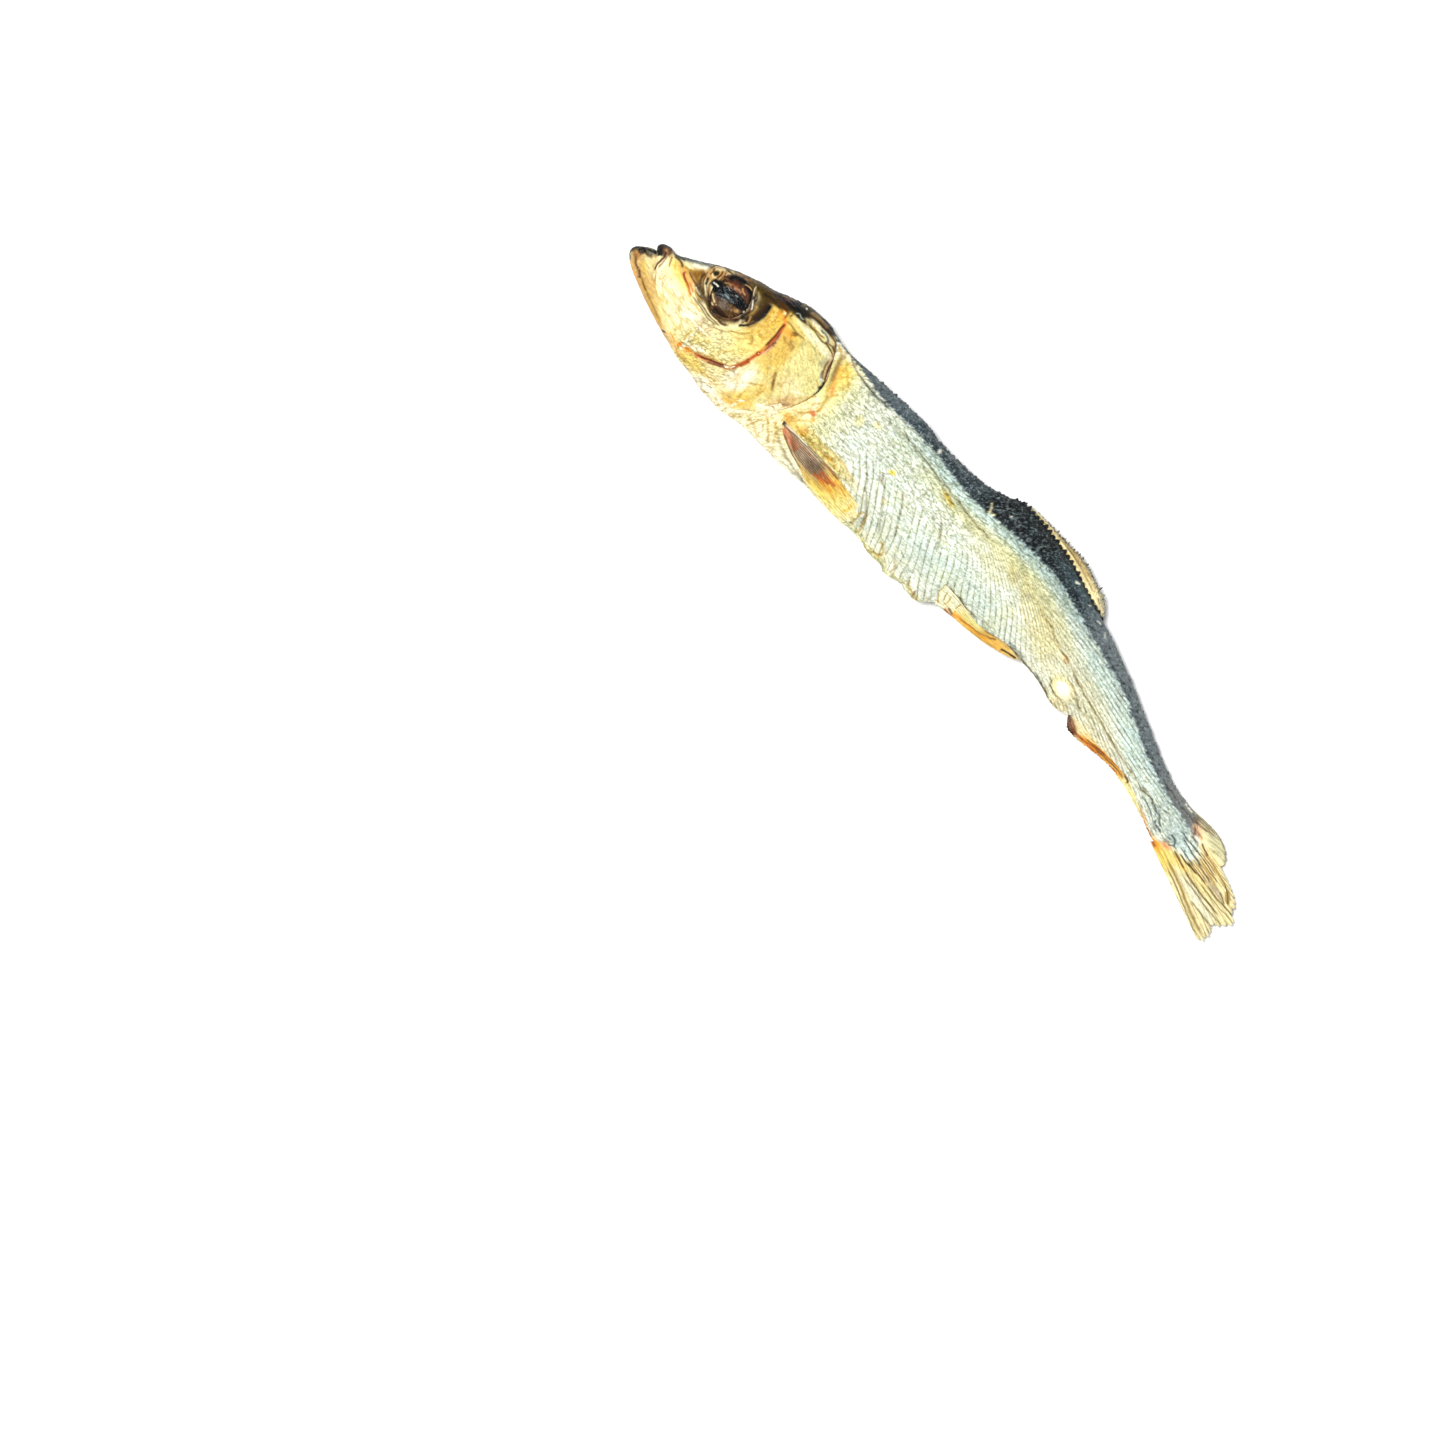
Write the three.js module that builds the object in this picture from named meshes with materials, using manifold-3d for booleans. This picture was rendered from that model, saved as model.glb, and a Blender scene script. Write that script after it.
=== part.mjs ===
// A whole smoked and dried herring, lying on its right flank with its left flank up.
//
// Frame, in millimetres: +X from the snout to the tail, +Y from the belly to the back, +Z up from the
// surface that it lies on. The origin is under the middle of the box round the fish.
// While it is built, x counts from the snout and y from the level of the chin, and the last step centres it.
//
// The fish is one solid. The lower jaw, the head and the trunk are lofts: rings of points that run from the
// belly line over the left flank to the back line and home under the right flank. The fins are thin blades
// between a root line and an outer edge, fused to the body. The head ends in the free rear edge of its gill
// covers, which stands a little proud of the trunk.

import * as THREE from "three";
import { mergeVertices } from "three/addons/utils/BufferGeometryUtils.js";
import Module from "manifold-3d";

const wasm = await Module();
wasm.setup();

// ---- Driving dimensions ----

const TOTAL_LENGTH = 181; // snout to the longest tail rays
const HEAD_HALF_THICKNESS = 5.8; // across one gill cover
const TRUNK_HALF_THICKNESS = 5.25; // across one flank behind the head
const EYE_RADIUS = 4.7;
const EYE_DOME = 1.5; // half the depth of the flattened eyeball
const EYE_SINK = 0.45; // how far the eyeball's middle lies under the socket's floor
const EYE_SLANT = [0.09, 0.12]; // the eyeball leans with the skin round it: towards the snout and the back
const SOCKET_RADIUS = 6.4;
const SOCKET_DEPTH = 0.9;
const GILL_STEP = 0.55; // how far the gill cover's edge stands proud of the trunk
const FIN_ROOT_THICKNESS = 1.0;
const FIN_EDGE_THICKNESS = 0.5;
const RAY_RELIEF = 0.07; // half the height of the rays' ridges
const ROOT_SINK = 1.2; // how deep a fin's root line lies inside the body
const FLAT_SPOT = 0.25; // what the table takes off the underside, so that the fish lies still

// ---- Side view: the lines of the back and the belly, as [x, y] stations ----

const NOSE = -0.5; // tip of the lower jaw
const LIP = 2.6; // tip of the upper jaw
const HEAD_END = 46; // behind the rearmost point of the gill cover
const TRUNK_START = 30; // hidden in the head
const TRUNK_END = 165.5; // the silver skin ends on the tail fin

const BACK_LINE = [
  [LIP, 5.3], [3.3, 6.4], [4.6, 6.9], [6.5, 7.0], [10, 9.5], [15, 13], [20, 15.7], [25, 17.6], [29, 19.7],
  [33, 21], [37, 21.4], [41, 21.1], [45, 20.9], [52, 22], [60, 23], [65, 23.5], [70, 23.3], [80, 24.4],
  [85, 26.1], [89, 27.8], [95, 28.2], [101, 28], [106, 27.4], [112, 26.1], [120, 24.6], [130, 21.9],
  [140, 18.6], [150, 15.4], [156, 14.6], [160, 13.9], [163.5, 11.9], [TRUNK_END, 10.2],
];
const BELLY_LINE = [
  [LIP, 5.2], [3.3, 4.1], [4.6, 2.2], [6, -0.6], [8, -2.4], [11, -3.7], [15, -4.8], [20, -6.1], [27, -6.6],
  [35, -6.9], [40, -5.6], [46, -4.8], [52, -4.2], [58, -3.3], [66, -2.7], [70, -2.1], [73.5, -1.8],
  [77, -2.3], [79.5, -1.8], [82, -2.4], [85, -1.3], [90, -1.2], [92, 0.6], [95, 2.5], [100, 3.9],
  [106, 5.4], [112, 7.3], [118, 7.4], [123, 6.5], [125.5, 6.7], [128, 8], [135, 8.2], [141, 8.7],
  [145, 8.4], [150, 6.7], [155, 5.1], [158, 4.5], [161, 5.5], [TRUNK_END, 8.2],
];
const JAW_TOP_LINE = [
  [NOSE, 0.9], [0.3, 2.4], [1.5, 3.5], [3, 4.3], [4.5, 3.6], [7, 1.5], [12, -1], [21, -4.4],
];
const JAW_BOTTOM_LINE = [
  [NOSE, 0.9], [0.3, -0.5], [1.5, -1.3], [4, -2.3], [8, -3.5], [12, -4.5], [17, -5.5], [21, -6],
];

// ---- Top view: half the thickness of a flank, and the height of the midplane over the table ----

const JAW_HALF_THICKNESS = [
  [NOSE, 0], [2, 1.6], [5, 2.2], [9, 2.5], [13, 2.4], [17, 1.9], [21, 1.1],
];
const HALF_THICKNESS = [
  [NOSE, 0], [2, 1.7], [5, 2.6], [10, 3.5], [15, 4.2], [20, 4.7], [27, 5.3], [34, 5.65],
  [41, HEAD_HALF_THICKNESS], [46, 5.6], [51, 5.3], [60, TRUNK_HALF_THICKNESS], [75, TRUNK_HALF_THICKNESS],
  [90, 5], [105, 4.5], [120, 3.7], [135, 2.8], [150, 1.9], [158, 1.3], [TRUNK_END, 0.7],
];
const MIDPLANE = [
  [NOSE, 4.2], [10, 4.5], [20, 4.8], [27, 5.05], [41, HEAD_HALF_THICKNESS - FLAT_SPOT],
  [51, 5.1], [60, TRUNK_HALF_THICKNESS - FLAT_SPOT], [75, TRUNK_HALF_THICKNESS - FLAT_SPOT],
  [90, 4.75], [105, 4.3], [120, 3.7], [135, 3.1], [150, 2.5], [165, 2.1], [TOTAL_LENGTH, 1.7],
];

// The gill covers' rear edge: how far back it lies, for each share of the depth from belly to back.
const GILL_EDGE = [
  [0, 31], [0.05, 36], [0.12, 39.2], [0.23, 42.5], [0.4, 44.8], [0.58, 45.7], [0.7, 45.2], [0.8, 43.7],
  [0.88, 42.3], [0.94, 40.6], [0.97, 38], [1, 35],
];

const EYE_CENTRE = [20, 9.6];
const SOCKET_CENTRE = [20.8, 10.2];

// ---- Fins: each outline is read from head to tail ----

const DORSAL_ROOT = [[88, 27.3], [95, 28.1], [101, 27.9], [106, 27.3], [112, 26], [116.8, 25]];
const DORSAL_EDGE = [[90, 28.8], [96, 29.6], [101, 29.9], [105, 30.2], [110, 29.3], [114.6, 28], [117, 25.2]];
const ANAL_ROOT = [[127.3, 8.3], [135, 8.3], [141, 8.8], [145, 8.5], [151, 6.6]];
const ANAL_EDGE = [[127.2, 7.7], [129.6, 5.7], [135, 6.5], [141, 7.4], [146, 7], [152.5, 5.7]];
const PECTORAL_TOP = [[45.2, 1.9], [50, 2.3], [55, 2.6], [60, 2.95], [65, 2.7], [69.7, 2.2]];
const PECTORAL_BOTTOM = [[45.6, 1.1], [48, -0.2], [51.5, -1.3], [55, -1.9], [58.5, -2.8], [65, -2.8], [70, -2.1]];
const PELVIC_TOP = [[93, 5.4], [98, 5.6], [104, 5.7], [108, 7.1], [112.4, 7.5]];
const PELVIC_BOTTOM = [[94, 1.8], [100, 3.1], [105, 4.1], [109, 5.3], [112.6, 6.9]];

// The tail fin's three overlapping bundles of rays, each from its root line to its frayed end, belly side
// first, with how far each lies over the midplane.
const TAIL_BUNDLES = [
  {
    root: [[157, 4.6], [160, 7], [162, 8.6]],
    end: [[179, -1.6], [179.7, -0.4], [179.4, 1.5], [178, 2.5]],
    lift: 0.3,
  },
  {
    root: [[160, 6], [162.5, 9], [160.5, 12.6]],
    end: [[177.8, 2.3], [179.6, 3.9], [TOTAL_LENGTH, 6], [179.3, 7.3], [178.6, 8.8], [175.5, 10.3], [171, 11.5]],
    lift: 0,
  },
  {
    root: [[160.5, 11.2], [158.5, 13], [156.5, 14]],
    end: [[170.3, 11.2], [170.5, 12.9], [168.6, 14.5], [165, 15.4], [160.5, 15.1]],
    lift: -0.3,
  },
];

// ---- Curves ----

// A smooth function through [x, y] stations: cubic Hermite spans, whose slope at a station is that of the
// line between its two neighbours.
function through(stations) {
  const xs = stations.map((p) => p[0]);
  const ys = stations.map((p) => p[1]);
  const last = xs.length - 1;
  const slope = (i) => {
    const a = Math.max(i - 1, 0);
    const b = Math.min(i + 1, last);
    return (ys[b] - ys[a]) / (xs[b] - xs[a]);
  };
  return (x) => {
    if (x <= xs[0]) return ys[0];
    if (x >= xs[last]) return ys[last];
    const i = xs.findIndex((station) => station > x) - 1;
    const span = xs[i + 1] - xs[i];
    const f = (x - xs[i]) / span;
    const h = f * f * (3 - 2 * f);
    return (
      ys[i] * (1 - h) +
      ys[i + 1] * h +
      slope(i) * span * f * (1 - f) * (1 - f) -
      slope(i + 1) * span * f * f * (1 - f)
    );
  };
}

// The same, measured by the root of the distance from the first station, so that the shape ends round there.
function roundFrom(stations) {
  const start = stations[0][0];
  const along = (x) => Math.sqrt(Math.max(x - start, 0));
  const curve = through(stations.map(([x, y]) => [along(x), y]));
  return (x) => curve(along(x));
}

// A point at share f of an outline's length.
function alongOutline(points, f) {
  const curve = new THREE.CatmullRomCurve3(points.map(([x, y]) => new THREE.Vector3(x, y, 0)), false, "centripetal");
  const p = curve.getPoint(f);
  return [p.x, p.y];
}

const mix = (a, b, f) => a + (b - a) * f;
const smoothstep = (f) => {
  const g = Math.min(Math.max(f, 0), 1);
  return g * g * (3 - 2 * g);
};

const backLine = roundFrom(BACK_LINE);
const bellyLine = roundFrom(BELLY_LINE);
const jawTop = roundFrom(JAW_TOP_LINE);
const jawBottom = roundFrom(JAW_BOTTOM_LINE);
const halfThickness = roundFrom(HALF_THICKNESS);
const jawHalfThickness = roundFrom(JAW_HALF_THICKNESS);
const midplane = through(MIDPLANE);
const gillEdge = through(GILL_EDGE);

// ---- Cross-section ----

const KEEL_SHARE = 0.34; // the share of the depth over which the flank thins to the belly's keel
const KEEL_THINNING = 0.4;

// The flank's half-thickness, as a share of the widest, at share t of the depth from belly to back:
// a blunt oval that is fuller in the back than in the belly.
function fullness(t, thinning) {
  const oval = Math.sqrt(Math.max(1 - Math.pow(Math.abs(1 - 2 * t), 2.5), 0));
  const taper = 0.82 + 0.36 * t - 0.18 * t * t;
  return oval * taper * (1 - thinning * (1 - smoothstep(t / KEEL_SHARE)));
}

// How far the head's skin sinks into the eye socket at a point of the side view.
function socket(x, y) {
  const r = Math.hypot(x - SOCKET_CENTRE[0], y - SOCKET_CENTRE[1]) / SOCKET_RADIUS;
  return SOCKET_DEPTH * (1 - smoothstep((r - 0.55) / 0.45));
}

// The trunk tucks under the gill covers: the skin there lies lower by the gill step.
function tuck(x) {
  return GILL_STEP * (1 - smoothstep((x - HEAD_END + 1) / 6));
}

// ---- Solids ----

// A closed manifold solid from points and faces, turned outwards.
function solid(points, faces) {
  const geometry = new THREE.BufferGeometry();
  geometry.setAttribute("position", new THREE.Float32BufferAttribute(points.flat(), 3));
  geometry.setIndex(faces.flat());
  const merged = mergeVertices(geometry, 1e-5);
  return new wasm.Manifold(
    new wasm.Mesh({
      numProp: 3,
      vertProperties: merged.attributes.position.array,
      triVerts: new Uint32Array(merged.index.array),
    }),
  );
}

// A loft through rings of equally many points, closed by a fan to a point at each end.
function loft(rings, startPole, endPole) {
  const around = rings[0].length;
  const points = [startPole, ...rings.flat(), endPole];
  const at = (ring, j) => 1 + ring * around + (j % around);
  const faces = [];
  for (let j = 0; j < around; j++) {
    faces.push([0, at(0, j), at(0, j + 1)]);
    for (let i = 0; i < rings.length - 1; i++) {
      faces.push([at(i, j), at(i + 1, j), at(i + 1, j + 1)]);
      faces.push([at(i, j), at(i + 1, j + 1), at(i, j + 1)]);
    }
    faces.push([at(rings.length - 1, j), points.length - 1, at(rings.length - 1, j + 1)]);
  }
  return solid(points, faces);
}

// One ring of a loft. place(t) gives the ring's x for a share t of the depth, and thickness(x, y, t) how far
// the flank stands from the midplane there.
function ring(around, place, low, high, thickness) {
  const points = [];
  for (let j = 0; j < around; j++) {
    const angle = (2 * Math.PI * j) / around;
    const side = Math.sin(angle) >= 0 ? 1 : -1;
    const t = (1 - Math.cos(angle)) / 2;
    const x = place(t);
    const y = mix(low(x), high(x), t);
    points.push([x, y, midplane(x) + side * thickness(x, y, t)]);
  }
  return points;
}

function lowerJaw() {
  const rings = [];
  const count = 14;
  const end = 21;
  for (let i = 1; i <= count; i++) {
    const x = NOSE + (end - NOSE) * (i / count) ** 2;
    const thickness = (px, py, t) => jawHalfThickness(px) * fullness(t, 0);
    rings.push(ring(20, () => x, jawBottom, jawTop, thickness));
  }
  const tip = [NOSE, jawTop(NOSE), midplane(NOSE)];
  return loft(rings, tip, [end, mix(jawBottom(end), jawTop(end), 0.5), midplane(end)]);
}

function head() {
  const rings = [];
  const count = 34;
  const centre = [35, 8, midplane(35)];
  for (let i = 1; i <= count; i++) {
    const f = (i / count) ** 1.5;
    const place = (t) => mix(LIP, gillEdge(t), f);
    const thickness = (x, y, t) => {
      const edge = Math.min(t, 1 - t) * 4;
      return Math.max(halfThickness(x) * fullness(t, 0.2) - socket(x, y) * Math.min(edge, 1), 0);
    };
    rings.push(ring(36, place, bellyLine, backLine, thickness));
  }
  return loft(rings, [LIP, backLine(LIP), midplane(LIP)], centre);
}

function trunk() {
  const rings = [];
  const count = 66;
  const inset = 0.25; // the trunk's outline stays inside the head's
  const high = (x) => backLine(x) - (x < HEAD_END ? inset : inset * (1 - smoothstep((x - HEAD_END) / 4)));
  const low = (x) => bellyLine(x) + (x < HEAD_END ? inset : inset * (1 - smoothstep((x - HEAD_END) / 4)));
  const thickness = (x, y, t) => (halfThickness(x) - tuck(x)) * fullness(t, KEEL_THINNING);
  for (let i = 0; i <= count; i++) {
    const x = mix(TRUNK_START, TRUNK_END, i / count);
    rings.push(ring(30, () => x, low, high, thickness));
  }
  const middle = (x) => mix(low(x), high(x), 0.5);
  return loft(
    rings,
    [TRUNK_START + 1, middle(TRUNK_START), midplane(TRUNK_START)],
    [TRUNK_END + 0.6, middle(TRUNK_END), midplane(TRUNK_END)],
  );
}

// An eyeball, a flattened ball set in the socket's floor. side is 1 for the left eye and -1 for the right.
function eye(side) {
  const [x, y] = EYE_CENTRE;
  const share = (y - bellyLine(x)) / (backLine(x) - bellyLine(x));
  const floor = halfThickness(x) * fullness(share, 0.2) - SOCKET_DEPTH;
  const ball = new THREE.SphereGeometry(1, 18, 10);
  ball.rotateX(Math.PI / 2);
  ball.scale(EYE_RADIUS, EYE_RADIUS, EYE_DOME);
  ball.rotateY(-side * EYE_SLANT[0]);
  ball.rotateX(-side * EYE_SLANT[1]);
  ball.translate(x, y, midplane(x) + side * (floor - EYE_SINK));
  ball.deleteAttribute("normal");
  ball.deleteAttribute("uv");
  const merged = mergeVertices(ball, 1e-4);
  return new wasm.Manifold(
    new wasm.Mesh({
      numProp: 3,
      vertProperties: merged.attributes.position.array,
      triVerts: new Uint32Array(merged.index.array),
    }),
  );
}

// A thin blade between two outlines. height(x, y, u, v) is its middle's height, u runs along the outlines and
// v from the first outline to the second. Both faces are split into triangles alike.
function blade(first, second, along, across, height, thicknessAt) {
  const points = [];
  const row = across + 1;
  for (const face of [1, -1]) {
    for (let i = 0; i <= along; i++) {
      const a = alongOutline(first, i / along);
      const b = alongOutline(second, i / along);
      for (let j = 0; j <= across; j++) {
        const v = j / across;
        const x = mix(a[0], b[0], v);
        const y = mix(a[1], b[1], v);
        points.push([x, y, height(x, y, i / along, v) + (face * thicknessAt(i / along, v)) / 2]);
      }
    }
  }
  const half = (along + 1) * row;
  const at = (i, j) => i * row + j;
  const faces = [];
  const quad = (a, b, c, d) => faces.push([a, b, c], [a, c, d]);
  for (let i = 0; i < along; i++) {
    for (let j = 0; j < across; j++) {
      const [a, b, c, d] = [at(i, j), at(i + 1, j), at(i + 1, j + 1), at(i, j + 1)];
      quad(a, b, c, d);
      faces.push([half + a, half + c, half + b], [half + a, half + d, half + c]);
    }
    quad(half + at(i, 0), half + at(i + 1, 0), at(i + 1, 0), at(i, 0));
    quad(at(i, across), at(i + 1, across), half + at(i + 1, across), half + at(i, across));
  }
  for (let j = 0; j < across; j++) {
    quad(at(0, j), at(0, j + 1), half + at(0, j + 1), half + at(0, j));
    quad(half + at(along, j), half + at(along, j + 1), at(along, j + 1), at(along, j));
  }
  const made = solid(points, faces);
  return made.volume() > 0 ? made : solid(points, faces.map(([a, b, c]) => [a, c, b]));
}

const finThickness = (v) => mix(FIN_ROOT_THICKNESS, FIN_EDGE_THICKNESS, v);

// The outline's points moved by dy, which sinks a fin's root into the body.
const shifted = (outline, dy) => outline.map(([x, y]) => [x, y + dy]);

function medianFin(root, edge, sink, along, rays) {
  const wave = (x, y, u, v) => midplane(x) + 0.35 * v * Math.sin(u * 9) + RAY_RELIEF * Math.sin(u * rays * 2 * Math.PI);
  return blade(shifted(root, sink), edge, along, 3, wave, (u, v) => finThickness(v));
}

// A paired fin lies flat on its flank, its skin half sunk in it.
function pairedFin(top, bottom, side, along) {
  const height = (x, y) => {
    const low = bellyLine(x);
    const t = Math.min(Math.max((y - low) / (backLine(x) - low), 0.012), 1);
    return midplane(x) + side * ((halfThickness(x) - tuck(x)) * fullness(t, KEEL_THINNING) + 0.15);
  };
  return blade(top, bottom, along, 5, height, (u, v) => mix(1, 0.7, u));
}

function tailFin() {
  return TAIL_BUNDLES.map(({ root, end, lift }) => {
    const height = (x, y, u, v) => midplane(x) + lift * (1 - 0.5 * v) + RAY_RELIEF * Math.sin(u * 50) * (1 - v);
    return blade(root, end, 12, 6, height, (u, v) => mix(FIN_ROOT_THICKNESS, FIN_EDGE_THICKNESS + 0.2, v));
  });
}

// ---- The fish ----

function fish() {
  let whole = lowerJaw();
  const pieces = [
    head(),
    trunk(),
    medianFin(DORSAL_ROOT, DORSAL_EDGE, -ROOT_SINK, 24, 6),
    medianFin(ANAL_ROOT, ANAL_EDGE, ROOT_SINK, 18, 5),
    ...tailFin(),
  ];
  for (const side of [1, -1]) {
    pieces.push(eye(side));
    pieces.push(pairedFin(PECTORAL_TOP, PECTORAL_BOTTOM, side, 16));
    pieces.push(pairedFin(PELVIC_TOP, PELVIC_BOTTOM, side, 12));
  }
  for (const piece of pieces) whole = whole.add(piece);

  // The table cuts the underside flat.
  const room = 20;
  const box = new THREE.BoxGeometry(TOTAL_LENGTH + 2 * room, 4 * room, room);
  box.translate(TOTAL_LENGTH / 2, room / 2, room / 2);
  box.deleteAttribute("normal");
  box.deleteAttribute("uv");
  const merged = mergeVertices(box);
  const aboveTable = new wasm.Manifold(
    new wasm.Mesh({
      numProp: 3,
      vertProperties: merged.attributes.position.array,
      triVerts: new Uint32Array(merged.index.array),
    }),
  );
  return whole.intersect(aboveTable);
}

function geometryOf(manifold) {
  const { numProp, numVert, vertProperties, triVerts } = manifold.getMesh();
  const positions = new Float32Array(numVert * 3);
  for (let i = 0; i < numVert; i++) {
    positions.set(vertProperties.subarray(i * numProp, i * numProp + 3), i * 3);
  }
  const geometry = new THREE.BufferGeometry();
  geometry.setAttribute("position", new THREE.BufferAttribute(positions, 3));
  geometry.setIndex(new THREE.BufferAttribute(new Uint32Array(triVerts), 1));
  geometry.computeBoundingBox();
  const { min, max } = geometry.boundingBox;
  geometry.translate(-(min.x + max.x) / 2, -(min.y + max.y) / 2, -min.z);
  geometry.computeVertexNormals();
  return geometry;
}

const smokedSkin = new THREE.MeshStandardMaterial({ color: 0xd9c98f, roughness: 0.45, metalness: 0.25 });

const smokedFish = new THREE.Mesh(geometryOf(fish()), smokedSkin);
smokedFish.name = "smoked_fish";

const group = new THREE.Group();
group.add(smokedFish);

export default group;
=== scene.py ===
"""A whole smoked and dried herring that lies on its right flank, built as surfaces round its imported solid.

Shapes are worked out in millimetres in the snout frame: x runs from the snout to the tail, y from the chin's
level to the back and z up from the table. place_in_row() brings them into the row's frame, in metres.
"""

import itertools
import math

import bpy
import mathutils
import numpy as np
from bpy.props import FloatProperty, FloatVectorProperty, PointerProperty
from bpy.types import Operator, Panel, PropertyGroup
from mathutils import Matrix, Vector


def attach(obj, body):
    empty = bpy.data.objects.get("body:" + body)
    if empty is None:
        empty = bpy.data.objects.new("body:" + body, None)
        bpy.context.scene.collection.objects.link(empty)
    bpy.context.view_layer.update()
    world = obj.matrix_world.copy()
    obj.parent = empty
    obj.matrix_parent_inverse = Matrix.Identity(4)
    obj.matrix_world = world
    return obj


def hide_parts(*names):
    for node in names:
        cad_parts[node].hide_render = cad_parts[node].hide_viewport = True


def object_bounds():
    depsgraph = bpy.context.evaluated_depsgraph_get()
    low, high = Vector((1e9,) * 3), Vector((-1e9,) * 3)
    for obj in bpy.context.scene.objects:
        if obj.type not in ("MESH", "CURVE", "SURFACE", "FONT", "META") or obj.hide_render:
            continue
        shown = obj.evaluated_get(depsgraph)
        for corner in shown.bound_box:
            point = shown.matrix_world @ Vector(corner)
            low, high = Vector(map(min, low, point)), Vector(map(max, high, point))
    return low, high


bl_info = {
    "name": "Smoked Fish",
    "version": (1, 0, 0),
    "blender": (4, 5, 0),
    "location": "3D View > Sidebar > Smoked Fish",
    "description": "Builds a whole smoked and dried herring from surfaces, with its floor, lights and camera",
    "category": "Add Mesh",
}

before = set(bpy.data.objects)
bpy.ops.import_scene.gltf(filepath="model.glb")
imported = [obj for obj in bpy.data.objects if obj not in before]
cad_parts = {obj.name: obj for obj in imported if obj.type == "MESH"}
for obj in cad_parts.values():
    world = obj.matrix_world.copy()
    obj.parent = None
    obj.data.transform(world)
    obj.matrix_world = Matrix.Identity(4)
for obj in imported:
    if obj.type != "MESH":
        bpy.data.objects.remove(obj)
cad_low, cad_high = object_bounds()

MM = 0.001
BODY = "root"
NODE = "smoked_fish"
SKIN_MATERIAL = "dried_fish_skin"

# ---- Driving dimensions, in millimetres ----

NOSE = -0.5  # tip of the lower jaw
LIP = 2.6  # tip of the upper jaw
JAW_END = 21.0
TOTAL_LENGTH = 181.0
HEAD_END = 46.0
TRUNK_START = 29.5
TRUNK_END = 165.5
HEAD_HALF_THICKNESS = 5.8
TRUNK_HALF_THICKNESS = 5.25
LIP_ROUNDING = 2.2  # length over which the upper lip rounds to its full thickness
SOCKET_CENTRE = (20.8, 10.2)
SOCKET_RADIUS = 6.4
SOCKET_DEPTH = 0.9
EYE_CENTRE = (20.0, 9.6)
EYE_RADIUS = 4.7
EYE_SINK = 0.45
EYE_SLANT = (0.09, 0.12)  # turns about y and x, in radians
EYE_LEVEL = 5.0
COVER_CORE = (34.0, 8.0, 5.4)  # the gill covers' free edge turns in towards this place
COVER_RAYS = (30.5, 17.5)  # the gill cover's creases fan out from here
BLISTER = (122.7, 10.1)
FLAT_SPOT = 0.25  # how far the thickest part is pressed flat on the table
OVAL_POWER = 2.5  # 2 gives an ellipse, more a blunter section
RING_GATHER = 0.4
TABLE_ROUNDING = 0.06  # how softly skin is held off the table
KEEL_SHARE = 0.34  # the share of the depth over which the belly thins to its keel
KEEL_THINNING = 0.4
HEAD_THINNING = 0.2
DORSAL_TEETH = 0.8  # points of dark skin along a millimetre of the dorsal fin's root
FLANK_NOISE_DEPTH = 4.0  # how far apart in z two places have unlike noise
TOP_OF_DORSAL_FIN = 30.2

# The row's origin, seen from the snout frame.
ROW_ORIGIN = (NOSE - cad_low.x / MM, TOP_OF_DORSAL_FIN - cad_high.y / MM)

BACK_LINE = (
    (LIP, 5.3), (3.3, 6.4), (4.6, 6.9), (6.5, 7.0), (10, 9.5), (15, 13), (20, 15.7), (25, 17.6), (29, 19.7),
    (33, 21), (37, 21.4), (41, 21.1), (45, 20.9), (52, 22), (60, 23), (65, 23.5), (70, 23.3), (80, 24.4),
    (85, 26.1), (89, 27.8), (95, 28.2), (101, 28), (106, 27.4), (112, 26.1), (120, 24.6), (130, 21.9),
    (140, 18.6), (150, 15.4), (156, 14.6), (160, 13.9), (163.5, 11.9), (TRUNK_END, 10.2),
)
BELLY_LINE = (
    (LIP, 5.2), (3.3, 4.1), (4.6, 2.2), (6, -0.6), (8, -2.4), (11, -3.7), (15, -4.8), (20, -6.1), (27, -6.6),
    (35, -6.9), (40, -5.6), (46, -4.8), (52, -4.2), (58, -3.3), (66, -2.7), (70, -2.1), (73.5, -1.8),
    (77, -2.3), (79.5, -1.8), (82, -2.4), (85, -1.3), (90, -1.2), (92, 0.6), (95, 2.5), (100, 3.9),
    (106, 5.4), (112, 7.3), (118, 7.4), (123, 6.5), (125.5, 6.7), (128, 8), (135, 8.2), (141, 8.7),
    (145, 8.4), (150, 6.7), (155, 5.1), (158, 4.5), (161, 5.5), (TRUNK_END, 8.2),
)
JAW_TOP_LINE = ((NOSE, 0.9), (0.3, 2.4), (1.5, 3.5), (3, 4.3), (4.5, 3.6), (7, 1.5), (12, -1), (JAW_END, -4.4))
JAW_BOTTOM_LINE = (
    (NOSE, 0.9), (0.3, -0.5), (1.5, -1.3), (4, -2.3), (8, -3.5), (12, -4.5), (17, -5.5), (JAW_END, -6),
)
JAW_HALF_THICKNESS = ((NOSE, 0), (2, 1.6), (5, 2.2), (9, 2.5), (13, 2.4), (17, 1.9), (JAW_END, 1.1))
HALF_THICKNESS = (
    (NOSE, 0), (2, 1.7), (5, 2.6), (10, 3.5), (15, 4.2), (20, 4.7), (27, 5.3), (34, 5.65),
    (41, HEAD_HALF_THICKNESS), (46, 5.6), (51, 5.3), (60, TRUNK_HALF_THICKNESS), (75, TRUNK_HALF_THICKNESS),
    (90, 5), (105, 4.5), (120, 3.7), (135, 2.8), (150, 1.9), (158, 1.2), (TRUNK_END, 0.5),
)
MIDPLANE = (
    (NOSE, 4.2), (10, 4.5), (20, 4.8), (27, 5.05), (41, HEAD_HALF_THICKNESS - FLAT_SPOT),
    (51, 5.1), (60, TRUNK_HALF_THICKNESS - FLAT_SPOT), (75, TRUNK_HALF_THICKNESS - FLAT_SPOT),
    (90, 4.75), (105, 4.3), (120, 3.7), (135, 3.1), (150, 2.5), (165, 2.1), (TOTAL_LENGTH, 1.7),
)
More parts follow.
